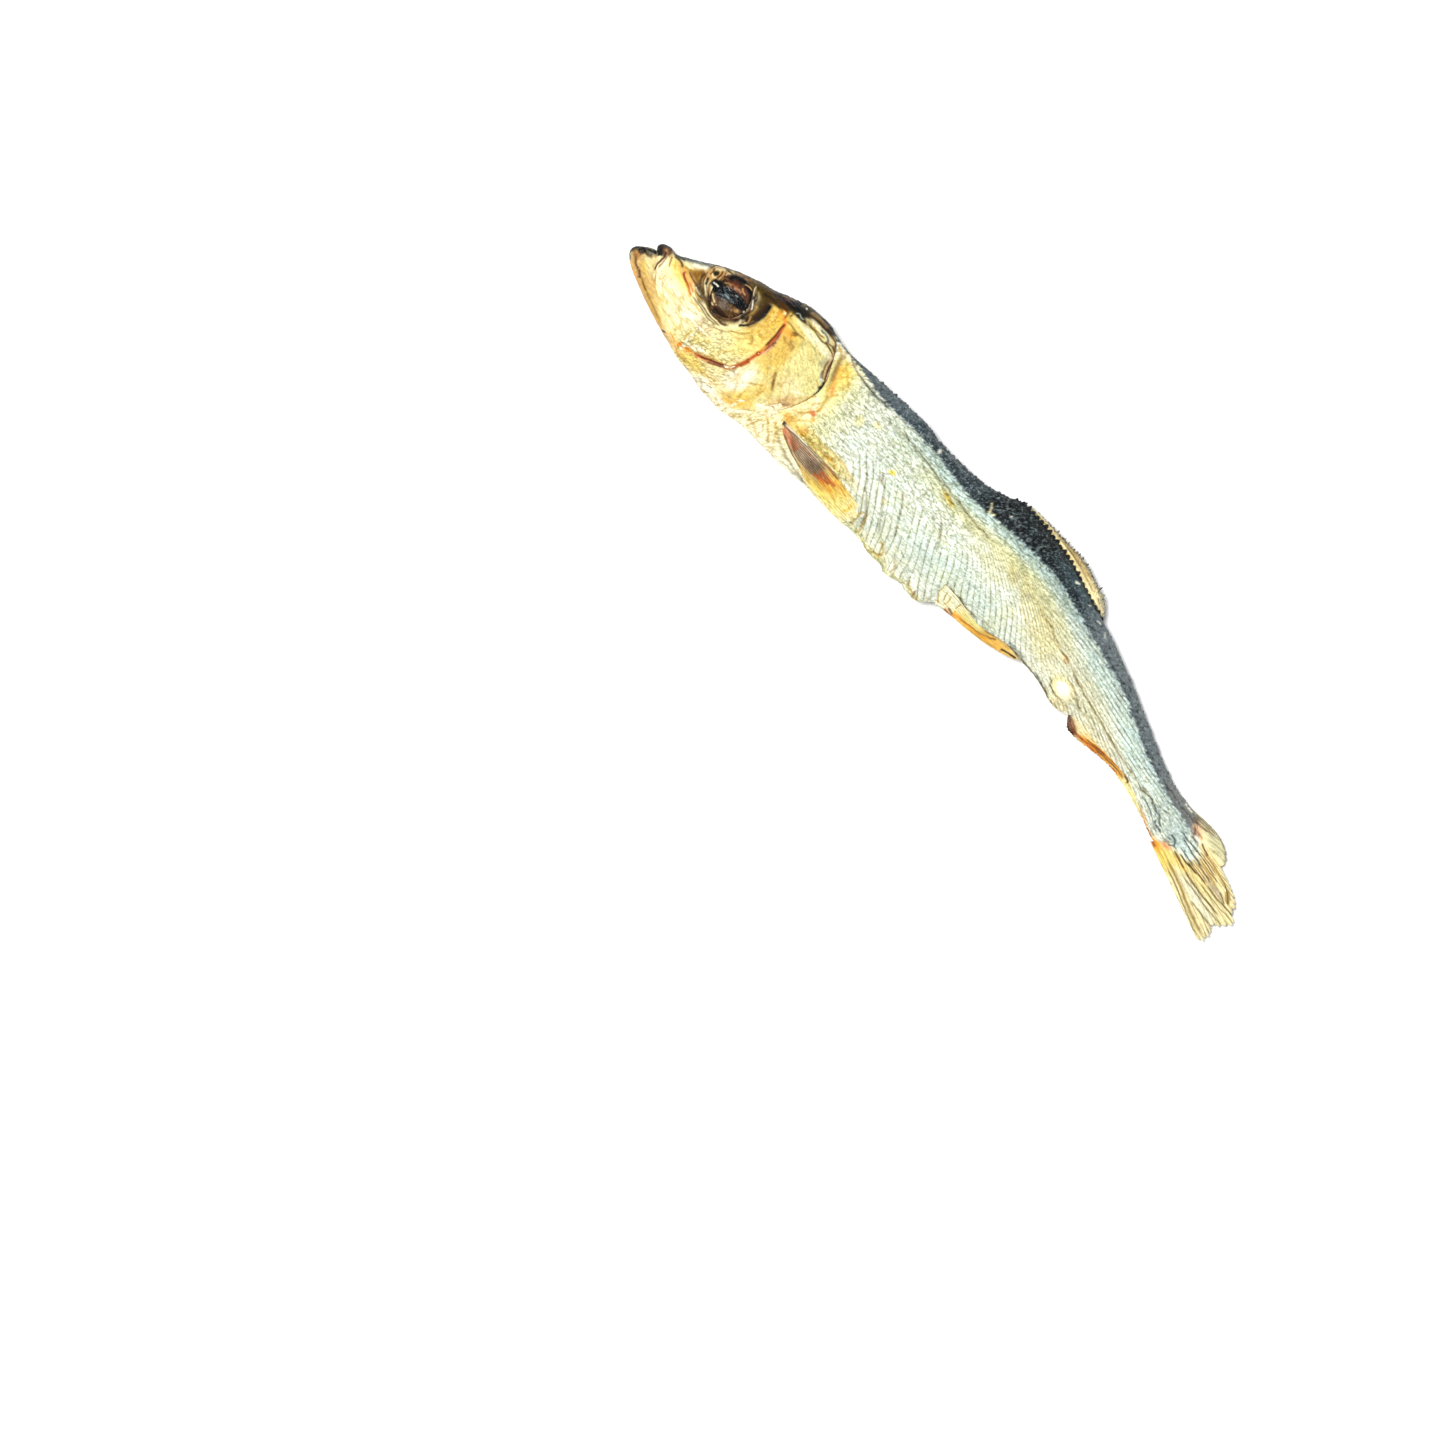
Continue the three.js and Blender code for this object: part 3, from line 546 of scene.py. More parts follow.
HEAD_MARKS = (
    # greenish yellow gill cover, gold cheek, white spots of painted highlight
    spot((39.4, 10), (7.2, 9), 8, 0.5, straw=0.9, ochre=0.1, ash=0.08),
    spot((29.4, 10.4), (2.7, 6.8), -6, 0.5, gold=0.95, ochre=0.46),
    spot((28.6, 14.4), (2.2, 2), 0, 0.6, gold=0.7, amber=0.3),
    spot((34.3, 10.4), (2.6, 5.4), 8, 0.5, gold=0.8, ochre=0.5),
    spot((27, 4.6), (5, 2.6), 24, 0.5, gold=0.25, straw=0.5),
    spot((24, 1), (4.4, 3), 0, 0.7, cream=0.35, sky=0.06),
    spot((9.6, 4.8), (3.2, 1.1), -12, 0.6, gold=0.6, amber=0.15),
    spot((24, -1), (6, 2.4), 14, 0.5, straw=0.6),
    spot((12.6, 0.6), (6.4, 2), -16, 0.6, straw=0.4, white=0.5),
    spot((18.6, 1.4), (3.6, 1.2), 2, 0.6, white=0.8),
    spot((23.6, -2.4), (2.6, 0.8), 26, 0.5, white=0.7),
    spot((33.6, 0.4), (2, 3.8), -22, 0.5, white=0.75),
    spot((41, 7), (2.4, 2), 30, 0.7, white=0.4),
    spot((38, 16.9), (5.4, 0.7), 2, 0.4, white=0.6, relief=0.12),
    spot((37.4, 0), (1.4, 3.2), -10, 0.6, gold=0.45, ochre=0.2),
    spot((39, 6), (2.4, 3.4), -20, 0.7, ochre=0.25),
    spot((36.4, -2.6), (3.6, 1.3), 30, 0.6, gold=0.5, amber=0.15),
    spot((30, -5.6), (9, 1), -2, 0.5, white=0.9),
    spot((24.6, -4.9), (3.4, 1.2), 6, 0.5, gold=0.7, amber=0.1),
    # brow, socket and the dark behind the eye
    spot((22.4, 15.7), (3, 1.2), 18, 0.3, olive=0.75, tan=0.3),
    spot((25.4, 16.3), (4.6, 1.5), 14, 0.22, olive=1),
    line(((23.6, 15.6), (25.2, 14.4), (25.9, 12.4), (26, 10.6), (25.4, 8.6)), 1.15, -0.1, taper=0.03, olive=0.98,
         brown=0.35, black=0.12),
    line(((24.2, 15), (24.7, 13.8), (25, 12.4)), 0.7, olive=0.9),
    line(((25.8, 14.8), (26.5, 13.2), (26.7, 11.6), (26.4, 10)), 0.55, brown=0.9, black=0.5),
    line(((24.6, 12.9), (25.2, 11.4), (25.1, 9.6)), 0.22, ochre=0.4),
    line(((26.2, 14.8), (27, 13), (27.2, 11.2), (26.9, 9.6), (26, 8), (25.2, 7)), 0.26, taper=0.05, black=0.98),
    line(((25.4, 10.4), (25.9, 9.2), (25.7, 8)), 0.13, tan=0.7),
    line(((24.9, 10.2), (25.4, 9.2), (25.3, 7.8)), 0.11, black=0.7),
    spot((28.2, 17), (2.2, 0.95), 16, 0.35, olive=0.95, brown=0.3),
    line(((23.4, 15.2), (25, 15.6), (27, 16)), 0.14, black=0.6),
    line(((26, 16.3), (28.2, 16.5), (30.2, 16.3)), 0.18, -0.08, brown=0.8),
    line(((26.4, 15.6), (27.6, 15.7), (29, 15.6)), 0.16, olive=0.8),
    # the lids' wrinkled skin, above, before and under the eye
    line(((16.8, 13.6), (18.4, 14.6), (20.4, 15.2)), 0.4, 0.08, tan=0.8),
    line(((17.2, 14.1), (18.6, 14.9), (19.8, 15.3)), 0.14, cream=0.8),
    line(((16, 13.4), (17.6, 14.2), (19.4, 14.8), (21, 15.2)), 0.12, brown=0.8),
    line(((21.5, 15), (21.7, 14.3), (22.3, 13.6), (22.9, 13.2)), 0.06, 0.1, cream=0.9),
    line(((22.2, 14.6), (22.9, 14.1), (23.6, 13.3)), 0.13, 0.08, tan=0.55),
    line(((21.9, 15.2), (22.4, 14.4), (23.4, 13.6), (24, 12.8)), 0.13, black=0.7),
    line(((19.6, 14.4), (20.8, 14.8), (21.6, 14.6)), 0.15, black=0.6),
    spot((14.6, 10.5), (1.9, 2.5), -18, 0.25, tan=0.95, ochre=0.25, brown=0.08, relief=0.18),
    spot((14.3, 11.6), (1.1, 0.5), 46, 0.4, cream=0.5),
    line(((12.8, 10.1), (13.3, 11.3), (14.3, 12.3), (15.6, 12.7), (16.6, 12.9)), 0.16, -0.1, brown=0.95),
    line(((13.3, 11.1), (13.8, 10.2), (13.9, 9.3)), 0.15, -0.1, brown=0.95),
    spot((14.45, 10.5), (0.5, 0.6), -10, 0.4, olive=0.95, black=0.5, relief=-0.2),
    line(((14.9, 11.8), (15.3, 11), (15.3, 9.8)), 0.17, -0.12, brown=0.95),
    line(((13.2, 10.6), (13.7, 11.7), (14.8, 12.2), (15.8, 11.9), (16.3, 11.2)), 0.09, 0.12, cream=0.85),
    line(((13.8, 9.9), (14.6, 9.5), (15.2, 9.9)), 0.1, 0.08, cream=0.75),
    line(((16.4, 12.4), (17, 11.8), (17.4, 11.2)), 0.3, -0.1, black=0.95),
    line(((15.3, 12.4), (15.9, 11.4), (15.9, 10.5)), 0.14, brown=0.7),
    line(((15.3, 12.5), (16.2, 12.9), (17.2, 12.9)), 0.16, olive=0.85),
    line(((16.8, 10.9), (17.4, 11.4), (17.7, 12.1)), 0.1, cream=0.7),
    line(((12.9, 9.9), (13.5, 8.9), (14.3, 7.8), (15.4, 6.8), (16.6, 5.9)), 0.14, 0.1, cream=0.6),
    line(((13.1, 9.7), (13.4, 8.6), (14, 7.5), (15, 6.6), (16.2, 5.8)), 0.15, -0.14, brown=0.95),
    line(((14, 8.8), (14.5, 8.1), (14.9, 7.3)), 0.24, -0.14, black=0.95),
    spot((15.8, 9), (0.8, 0.85), 0, 0.35, black=0.95),
    # a painted highlight at the eye's front
    line(((15.3, 8.9), (16, 8.85), (16.8, 8.9)), 0.1, white=1),
    line(((15.1, 8.7), (15.4, 7.9), (16.3, 7), (17.6, 6.2)), 0.17, -0.1, brown=0.95),
    line(((14.8, 7.6), (15.8, 6.9), (17, 6.3), (18.4, 5.8)), 0.14, -0.08, brown=0.7),
    line(((15.2, 8.2), (16.4, 7.1), (17.8, 6.4)), 0.1, tan=0.8),
    line(((16, 5.6), (17.4, 5.3), (18.8, 4.9)), 0.24, olive=0.8),
    line(((18.4, 5), (20.6, 4.6), (22.6, 4.8), (24.2, 5.5)), 0.28, -0.1, olive=0.9, brown=0.4),
    line(((15, 4.9), (17.6, 4.5), (20.4, 4.2), (23, 4.5), (25, 5.9)), 0.12, 0.08, cream=0.9),
    line(((15.4, 4.3), (18, 4.1), (20.8, 3.9), (23.2, 4.2)), 0.12, -0.08, olive=0.9),
    line(((14.6, 3.9), (17.4, 3.7), (19.6, 3.4), (20.8, 3.4), (22.6, 3.8)), 0.12, -0.08, olive=0.75),
    line(((13.6, 3.4), (16, 3.1), (18.6, 2.9)), 0.12, ochre=0.6),
    line(((24.6, 8.4), (25.1, 7.2), (24.8, 6), (23.6, 5)), 0.1, 0.08, cream=0.7),
    # a painted highlight on the rim above the eye
    line(((23.2, 12.7), (24, 12), (24.7, 11.1)), 0.1, 0.1, white=0.95),
    line(((24.7, 5), (26, 5.6), (27.2, 6.8), (28.2, 8.2)), 0.15, -0.08, ochre=0.9, olive=0.2),
    line(((25.4, 4.6), (27, 5.2), (28.2, 6.6)), 0.12, ochre=0.8),
    line(((26.6, 8.6), (27.3, 10), (27.7, 11.6)), 0.14, ochre=0.7),
    # the ochre hollow before the eye, the red line under it
    spot((10.6, 5.6), (2.8, 0.8), -14, 0.5, amber=0.5, tan=0.4),
    line(((12.8, 9), (12.3, 7.9), (11.9, 7)), 0.95, -0.15, taper=0.06, amber=0.9, brown=0.35, olive=0.55),
    line(((10.2, 6.9), (12.4, 6.8), (14.2, 6.2)), 0.6, taper=0.08, amber=0.8, brown=0.3, olive=0.5),
    line(((12.9, 8.9), (13.1, 7.9), (13.8, 6.9), (14.8, 6.2)), 0.22, -0.1, olive=0.8, brown=0.5),
    line(((10.6, 6.5), (12.4, 6.1), (14.6, 5.7)), 0.15, -0.1, brown=0.85),
    spot((15.4, 5.5), (1.8, 0.85), -20, 0.5, olive=0.95, brown=0.2),
    line(((13.8, 5.6), (14.6, 5.3), (15.8, 5.2)), 0.11, cream=0.7),
    line(((14, 5), (15.4, 4.7), (16.8, 4.9)), 0.13, 0.08, ochre=0.8),
    line(((10.6, 5.9), (12, 5.7), (13.4, 5.2)), 0.26, amber=0.8, cream=0.2),
    line(((10.1, 6.2), (10.2, 5.5), (11.2, 5), (12.6, 4.6), (13.6, 4.1), (14.8, 3.6)), 0.18, -0.14, rust=0.95,
         brown=0.5),
    line(((11.8, 4.6), (13.2, 4.2), (15, 3.5)), 0.16, amber=0.8),
    line(((12.2, 5.3), (13.4, 4.9), (14.6, 4.4)), 0.12, rust=0.7),
    line(((6.2, 6.3), (7.6, 6.5), (8.6, 6.4), (9.3, 6)), 0.22, olive=0.95),
    line(((9.2, 6.4), (10.6, 6.9), (11.6, 7.2)), 0.2, ochre=0.8, olive=0.3),
    line(((8.8, 7.1), (10, 7.2), (11, 7.6)), 0.2, cream=0.8),
    line(((9.2, 6.7), (10, 6.5), (10.6, 6.2)), 0.16, ochre=0.7),
    # the snout's edge and lip
    line(((6.4, 6.9), (8, 7.6), (10, 9), (12.8, 11)), 0.5, taper=0.05, slate=0.7, ash=0.5),
    line(((12.4, 11.2), (15, 13.2), (18, 15), (20.6, 16.1)), 0.55, taper=0.05, olive=0.65, ash=0.6),
    line(((15, 13), (17, 14.2), (19, 15.1)), 0.13, olive=0.7, black=0.3),
    line(((9.8, 8), (11.2, 8.8), (12.6, 10)), 0.36, white=0.9),
    line(((5.2, 6.8), (6.6, 6.7), (8.2, 7.4)), 0.22, taper=0, black=0.95),
    spot((4.1, 5.7), (1.7, 1.3), 22, 0.3, brown=0.95, tan=0.15, relief=0.12),
    line(((3.2, 5.4), (4, 4.9), (4.6, 4.2)), 0.3, black=0.8),
    line(((4.2, 5.9), (4.9, 5.6), (5.2, 5)), 0.25, tan=0.6),
    line(((4.4, 4.1), (3.4, 4.6), (2.8, 5.2), (3.2, 6), (4, 6.7), (5.2, 6.9)), 0.5, taper=0.04, black=1),
    line(((4.7, 5.7), (5.1, 4.8), (5.2, 3.6), (5.3, 2.4), (5.8, 1.2)), 0.2, -0.2, taper=0.06, brown=1),
    line(((5.4, 5.2), (5.7, 4.2), (5.9, 3), (6, 2.2)), 0.13, -0.1, brown=0.6),
    line(((6.1, 6), (6.6, 5), (7.4, 4)), 0.15, -0.08, brown=0.55),
    line(((6.9, 6), (7.8, 5.3), (8.6, 4.6)), 0.13, ochre=0.7),
    line(((5.4, 1.8), (5.9, 0.4), (6.8, -0.9), (8, -1.8)), 0.12, -0.14, olive=0.6),
    line(((6.1, 4.6), (6.4, 3), (6.9, 1.6), (8, 0.2)), 0.18, 0.08, white=0.8),
    line(((6.2, 2), (7, 0.6), (8.4, -0.6), (10.4, -1.6), (13, -2.6)), 0.1, -0.07, tan=0.9),
    line(((6.1, -0.3), (8.7, -2), (12.5, -3.2), (17, -4.1)), 0.16, -0.14, ochre=0.8),
    line(((12, -3), (14.6, -2.3), (17.4, -2.5), (19.2, -2.2)), 0.14, ochre=0.4),
    line(((12, -3.9), (14.4, -4.2), (17, -4.1), (19, -4.5), (20.4, -4.6)), 0.2, amber=0.8),
    # the corner of the jaw, its white streaks painted highlights
    line(((20.2, -0.6), (20.1, -2), (20.4, -3.4)), 0.24, ochre=0.5),
    line(((20.8, -0.8), (20.9, -2.4), (21.2, -4)), 0.22, 0.1, white=0.9),
    line(((21.2, -0.6), (21.6, -1.8), (21.2, -2.9)), 0.09, olive=0.6),
    line(((24.4, -0.3), (22.7, -1.6), (22, -2.8)), 0.1, olive=0.55),
    line(((24.6, -0.9), (23, -2.1), (22.2, -3)), 0.16, white=0.8),
    spot((20.5, -4.3), (0.4, 0.65), 0, 0.5, amber=1, rust=0.3),
    spot((22.4, -3.7), (0.7, 0.4), 10, 0.5, amber=0.9, rust=0.4),
    line(((19, -4.9), (21, -5.4), (22.8, -5.7)), 0.16, amber=0.7),
    spot((21.3, -4.2), (0.35, 0.6), 0, 0.5, white=0.9),
    spot((16.5, -5.1), (0.5, 0.16), -10, 0.4, black=0.8),
    # the black nape and the stripes behind it
    line(((19.6, 15.6), (22.6, 17), (24.6, 17.7), (27, 18.5)), 0.42, taper=0.04, black=0.95),
    spot((27.4, 17.9), (2.8, 0.95), 20, 0.3, brown=0.9, black=0.6),
    line(((27.6, 18.8), (29.4, 19.5), (31.6, 19.8), (33.4, 20.2)), 0.62, taper=0.05, black=0.97),
    spot((30.6, 18.7), (2.4, 1.3), 8, 0.25, black=1),
    line(((30, 20), (33, 20.6), (36, 21), (39, 20.9)), 0.8, taper=0.03, olive=0.9, ash=0.4),
    line(((31.4, 19.2), (33.4, 19.6), (35.6, 20.2), (37.4, 20.7), (39, 20.6)), 0.72, taper=0.05, olive=0.95, black=0.7),
    line(((29, 19.9), (31, 20.3), (33, 20.9), (35, 21.2), (37, 21.3), (39, 21.1)), 0.34, taper=0.03, black=0.85),
    line(((32.6, 20.2), (34.2, 20.5), (35.8, 20.6)), 0.14, ash=0.4),
    line(((32.2, 18.9), (34, 19.5), (36.2, 20), (38, 20.2), (39.4, 19.9)), 0.3, brown=0.8, black=0.6),
    # a painted glint
    spot((31.5, 19.8), (0.25, 0.2), 0, 0.5, white=0.9),
    spot((36.6, 19.2), (2.8, 0.5), 2, 0.4, cream=0.9, white=0.4, relief=0.1),
    line(((36.4, 19.3), (38, 19.3), (38.9, 19), (39.6, 18.6)), 0.16, -0.1, slate=0.9),
    line(((33.2, 18.4), (34.8, 18.3), (36.4, 18.5), (38.4, 18.6)), 0.12, -0.1, ochre=0.6, olive=0.7),
    line(((33.6, 17.9), (36, 18.1), (38, 17.9), (39.6, 18.1), (41.4, 17.9), (42.6, 17.4)), 0.13, -0.16, olive=0.95),
    spot((31.9, 17.6), (1.9, 0.5), 4, 0.4, black=0.9, olive=0.4),
    line(((30.8, 17.4), (31.4, 17.9), (32.2, 17.6), (32.8, 17.9)), 0.08, 0.08, sky=0.6),
    line(((30, 17.4), (30.6, 16.8), (30.4, 16)), 0.2, olive=0.8),
    line(((38.8, 20.9), (40.2, 20.9), (41.6, 20.8)), 0.16, 0.08, white=0.9),
    line(((38.6, 20.6), (39.6, 20.5), (40.8, 20.4)), 0.16, black=0.9),
    line(((38.4, 20), (40, 19.8), (41.6, 19.4), (43, 18.4)), 0.24, ochre=0.5, brown=0.8),
    line(((38.8, 18.3), (40.6, 18.6), (42.2, 18.3)), 0.19, brown=0.8),
    line(((39.4, 19.2), (40.8, 19.1), (41.8, 18.7)), 0.12, cream=0.7),
    line(((40.4, 19.5), (41.8, 18.9), (42.8, 18)), 0.14, brown=0.8),
    line(((40.6, 18.8), (41.8, 18.4), (43, 17.6)), 0.16, black=0.6, olive=0.6),
    # amber and ochre between the nape and the cheek
    line(((30.4, 15), (32, 15.2), (34, 15.1), (35.8, 15.4)), 0.14, -0.12, ochre=0.5, olive=0.55),
    spot((33.9, 14.6), (0.7, 0.5), 40, 0.5, amber=0.4, olive=0.7, relief=-0.1),
    spot((33, 13.7), (1.3, 0.8), 10, 0.6, amber=0.6),
    line(((27.9, 15.6), (28.6, 15.1), (28.7, 14)), 0.24, amber=0.8),
    line(((28.6, 16), (29.6, 15.6), (30.4, 14.8), (31.2, 14.6)), 0.3, amber=0.95, rust=0.2),
    line(((28.8, 16.3), (29.6, 16.1), (30.2, 15.2)), 0.15, brown=0.6),
    spot((29.3, 15.8), (0.3, 0.3), 0, 0.5, cream=0.9),
    line(((26.8, 14.4), (27.9, 14.3), (28.6, 13.6)), 0.13, -0.08, ochre=0.8),
    line(((27.3, 13.4), (28, 12.6), (28, 11.6)), 0.13, -0.08, ochre=0.8),
    line(((29, 14.4), (29.2, 13.2), (28.9, 12)), 0.12, -0.08, ochre=0.8),
    line(((30.2, 13.2), (30.6, 12.6), (30.2, 11.4)), 0.14, -0.1, ochre=0.9),
    line(((28.8, 10.4), (29, 9.4), (29.6, 8.9)), 0.2, amber=0.6, ochre=0.6),
    line(((28.4, 8), (29.4, 7.4), (29.8, 6.2)), 0.14, -0.08, olive=0.5),
    line(((32.8, 12.8), (33.8, 12.2), (35, 12.3), (36.4, 12)), 0.16, amber=0.6, olive=0.45),
    line(((34.4, 13.5), (34.7, 12.9), (35.6, 12.8), (36.2, 12.3)), 0.22, -0.08, olive=0.65, ochre=0.4),
    # creases of the gill cover
    line(((37.2, 7), (37.6, 6.3), (38.4, 5.3), (39.1, 4.4), (39.8, 3.6)), 0.2, -0.16, ochre=0.8, olive=0.5),
    line(((38, 5.8), (38.6, 5), (39.2, 4.3)), 0.13, -0.1, brown=0.7),
    line(((37.4, 6.2), (37.6, 5.2), (37.5, 4.2), (38.2, 3.2)), 0.16, -0.08, ochre=0.5),
    line(((37.8, 3.3), (36.6, 2.2), (35.2, 1)), 0.13, -0.08, ochre=0.7),
    line(((38.3, 3.4), (38.4, 2), (38.2, 0.4)), 0.2, -0.08, amber=0.45),
    line(((39.2, -2.2), (37.4, -3.2), (35.4, -4.2), (33.6, -4.8)), 0.3, amber=0.45),
    line(((38.4, 0), (37.4, -1.8), (35.6, -3.2), (33, -4)), 0.13, -0.08, tan=0.6),
    line(((35.4, 6.4), (36.2, 7), (37, 7)), 0.15, straw=0.6, olive=0.15),
    spot((42.9, 3.8), (1.2, 3), -26, 0.8, tan=0.5, blush=0.2),
    line(((41.4, 1.4), (42.4, 2.6), (43.2, 3.8), (44.2, 5.2)), 0.26, -0.1, plum=0.35, tan=0.5),
    line(((42.8, 3), (43.4, 3.9), (44, 4.6)), 0.15, brown=0.45),
    line(((41.2, 2.6), (42.2, 4), (43.4, 5.8), (44.6, 7.6)), 0.13, tan=0.6),
    # white lines: painted highlights on the gill cover
    line(((42.6, 1), (43.4, 2.4), (44.1, 4)), 0.13, 0.08, white=0.7),
    line(((42, 6.6), (43.6, 7.8), (44.8, 8.4)), 0.16, 0.08, white=0.6),
    # its rear edge: a brown and plum crescent of painted shade above, with painted cream highlights, a black slot of
    # painted shadow at the edge, a tan fold below
    spot((42, 15.4), (0.8, 1.2), 20, 0.6, ash=0.4),
    line(((42.4, 18.6), (43.3, 17), (44, 15.4), (45, 13.4)), 0.75, -0.12, taper=0.06, blush=0.85, brown=0.5),
    line(((40.6, 19.4), (42, 18.8), (43, 17.8), (43.8, 16.4)), 0.4, taper=0.1, brown=0.75, ochre=0.2),
    line(((41.6, 19.5), (43, 18.2), (43.8, 17), (44.5, 15.4), (45.4, 13.4)), 0.22, taper=0.05, brown=0.95),
    line(((42.8, 17.4), (43.2, 16.2), (43.9, 14.8), (44.9, 13.2), (45.6, 12)), 0.2, -0.1, brown=0.95),
    line(((42.3, 16.6), (42.7, 15.4), (43.4, 14), (44.4, 12.9)), 0.13, brown=0.85),
    line(((43.4, 17.4), (43.9, 16), (44.6, 14.4)), 0.12, plum=0.95),
    line(((43.6, 16.2), (44.2, 14.9), (44.9, 13.6)), 0.09, 0.08, cream=0.8),
    line(((44.2, 16.9), (44.8, 15.4), (45.6, 13.6)), 0.13, tan=0.9),
    line(((42.9, 14.3), (43.6, 13.2), (44.6, 12.4)), 0.13, slate=0.7),
    spot((44.3, 12.7), (0.5, 0.25), -30, 0.5, sky=0.8),
    line(((44.8, 12.9), (45.5, 11.8), (45.7, 10.8), (45.7, 9.6)), 0.2, taper=0.02, black=0.95),
    spot((45.4, 11.5), (0.45, 0.45), 0, 0.5, black=0.9),
    line(((45.7, 9.9), (45.4, 8), (44.9, 6.2), (44.2, 4.4)), 0.15, tan=0.9),
    line(((44.2, 2.9), (43.7, 1.4), (42.9, -0.1), (41.4, -1.3), (39.6, -2.2), (38.9, -2.8)), 0.17, olive=0.4,
         ochre=0.8),
    # the red crease between cheek and gill cover
    line(((31.7, 13.2), (32.2, 12), (32.7, 10.6), (32.8, 8.4), (32.6, 6.4)), 0.34, blush=0.85),
    line(CREASE_TOP, 0.3, -0.26, taper=0.06, rust=1),
    line(((31.1, 14.4), (31.3, 13), (31.6, 11.6), (31.8, 10), (31.9, 8.6)), 0.14, taper=0.03, brown=0.95),
    line(CREASE_BOTTOM, 0.36, -0.3, taper=0.03, rust=1),
    line(((32.3, 4.3), (31.9, 3), (31.4, 2)), 0.26, brown=0.5, rust=0.6),
    line(((30.2, -0.4), (28.4, -1), (26.6, -1.9), (25, -2.8)), 0.12, brown=0.6),
    line(((29.8, -0.9), (28.6, -1.4), (27.4, -2), (26.6, -2.5)), 0.1, brown=0.85),
    line(((32.1, 9), (32.2, 8), (32, 7)), 0.2, amber=0.9),
    line(((24.3, -3.1), (22.6, -3.8), (21, -4.4)), 0.26, -0.2, amber=0.7),
    line(((24.8, -3.6), (24.2, -3), (23.8, -3.4)), 0.2, rust=0.8),
    line(((30.6, -0.1), (28.8, -0.9), (26.8, -1.8), (24.8, -2.9)), 0.2, brown=0.55),
    line(((31.9, 12.8), (32.4, 11.4), (32.6, 9.8), (32.4, 7.6)), 0.16, plum=0.6, brown=0.3),
    line(((31.2, 1.6), (31.6, 0.8), (31.2, 0)), 0.14, ash=0.6),
    line(((32.9, 10.8), (32.7, 10), (33.2, 9.7)), 0.14, brown=0.9),
    line(((29.8, 0), (27.6, -0.8), (25.4, -1.9), (23.6, -2.6)), 0.1, 0.08, ochre=0.8),
    # streaks in the dark crown
    line(((32.4, 19.7), (34.2, 20.25), (36, 20.5), (37.4, 20.6)), 0.34, 0.06, tan=0.45),
    line(((33, 19.4), (35, 20), (37, 20.1)), 0.12, -0.08, olive=0.8),
    line(((34, 20.7), (36, 21), (38, 20.8)), 0.14, -0.06, brown=0.8),
    line(((26.2, 17.7), (27.6, 18.4), (28.8, 19.2)), 0.2, brown=0.7, tan=0.2),
    line(((27, 17.5), (28.6, 18.1), (30, 18.3)), 0.1, 0.05, plum=0.6),
    line(((25.4, 17), (27.4, 17.4), (29.8, 17.3)), 0.14, -0.08, black=0.7),
)

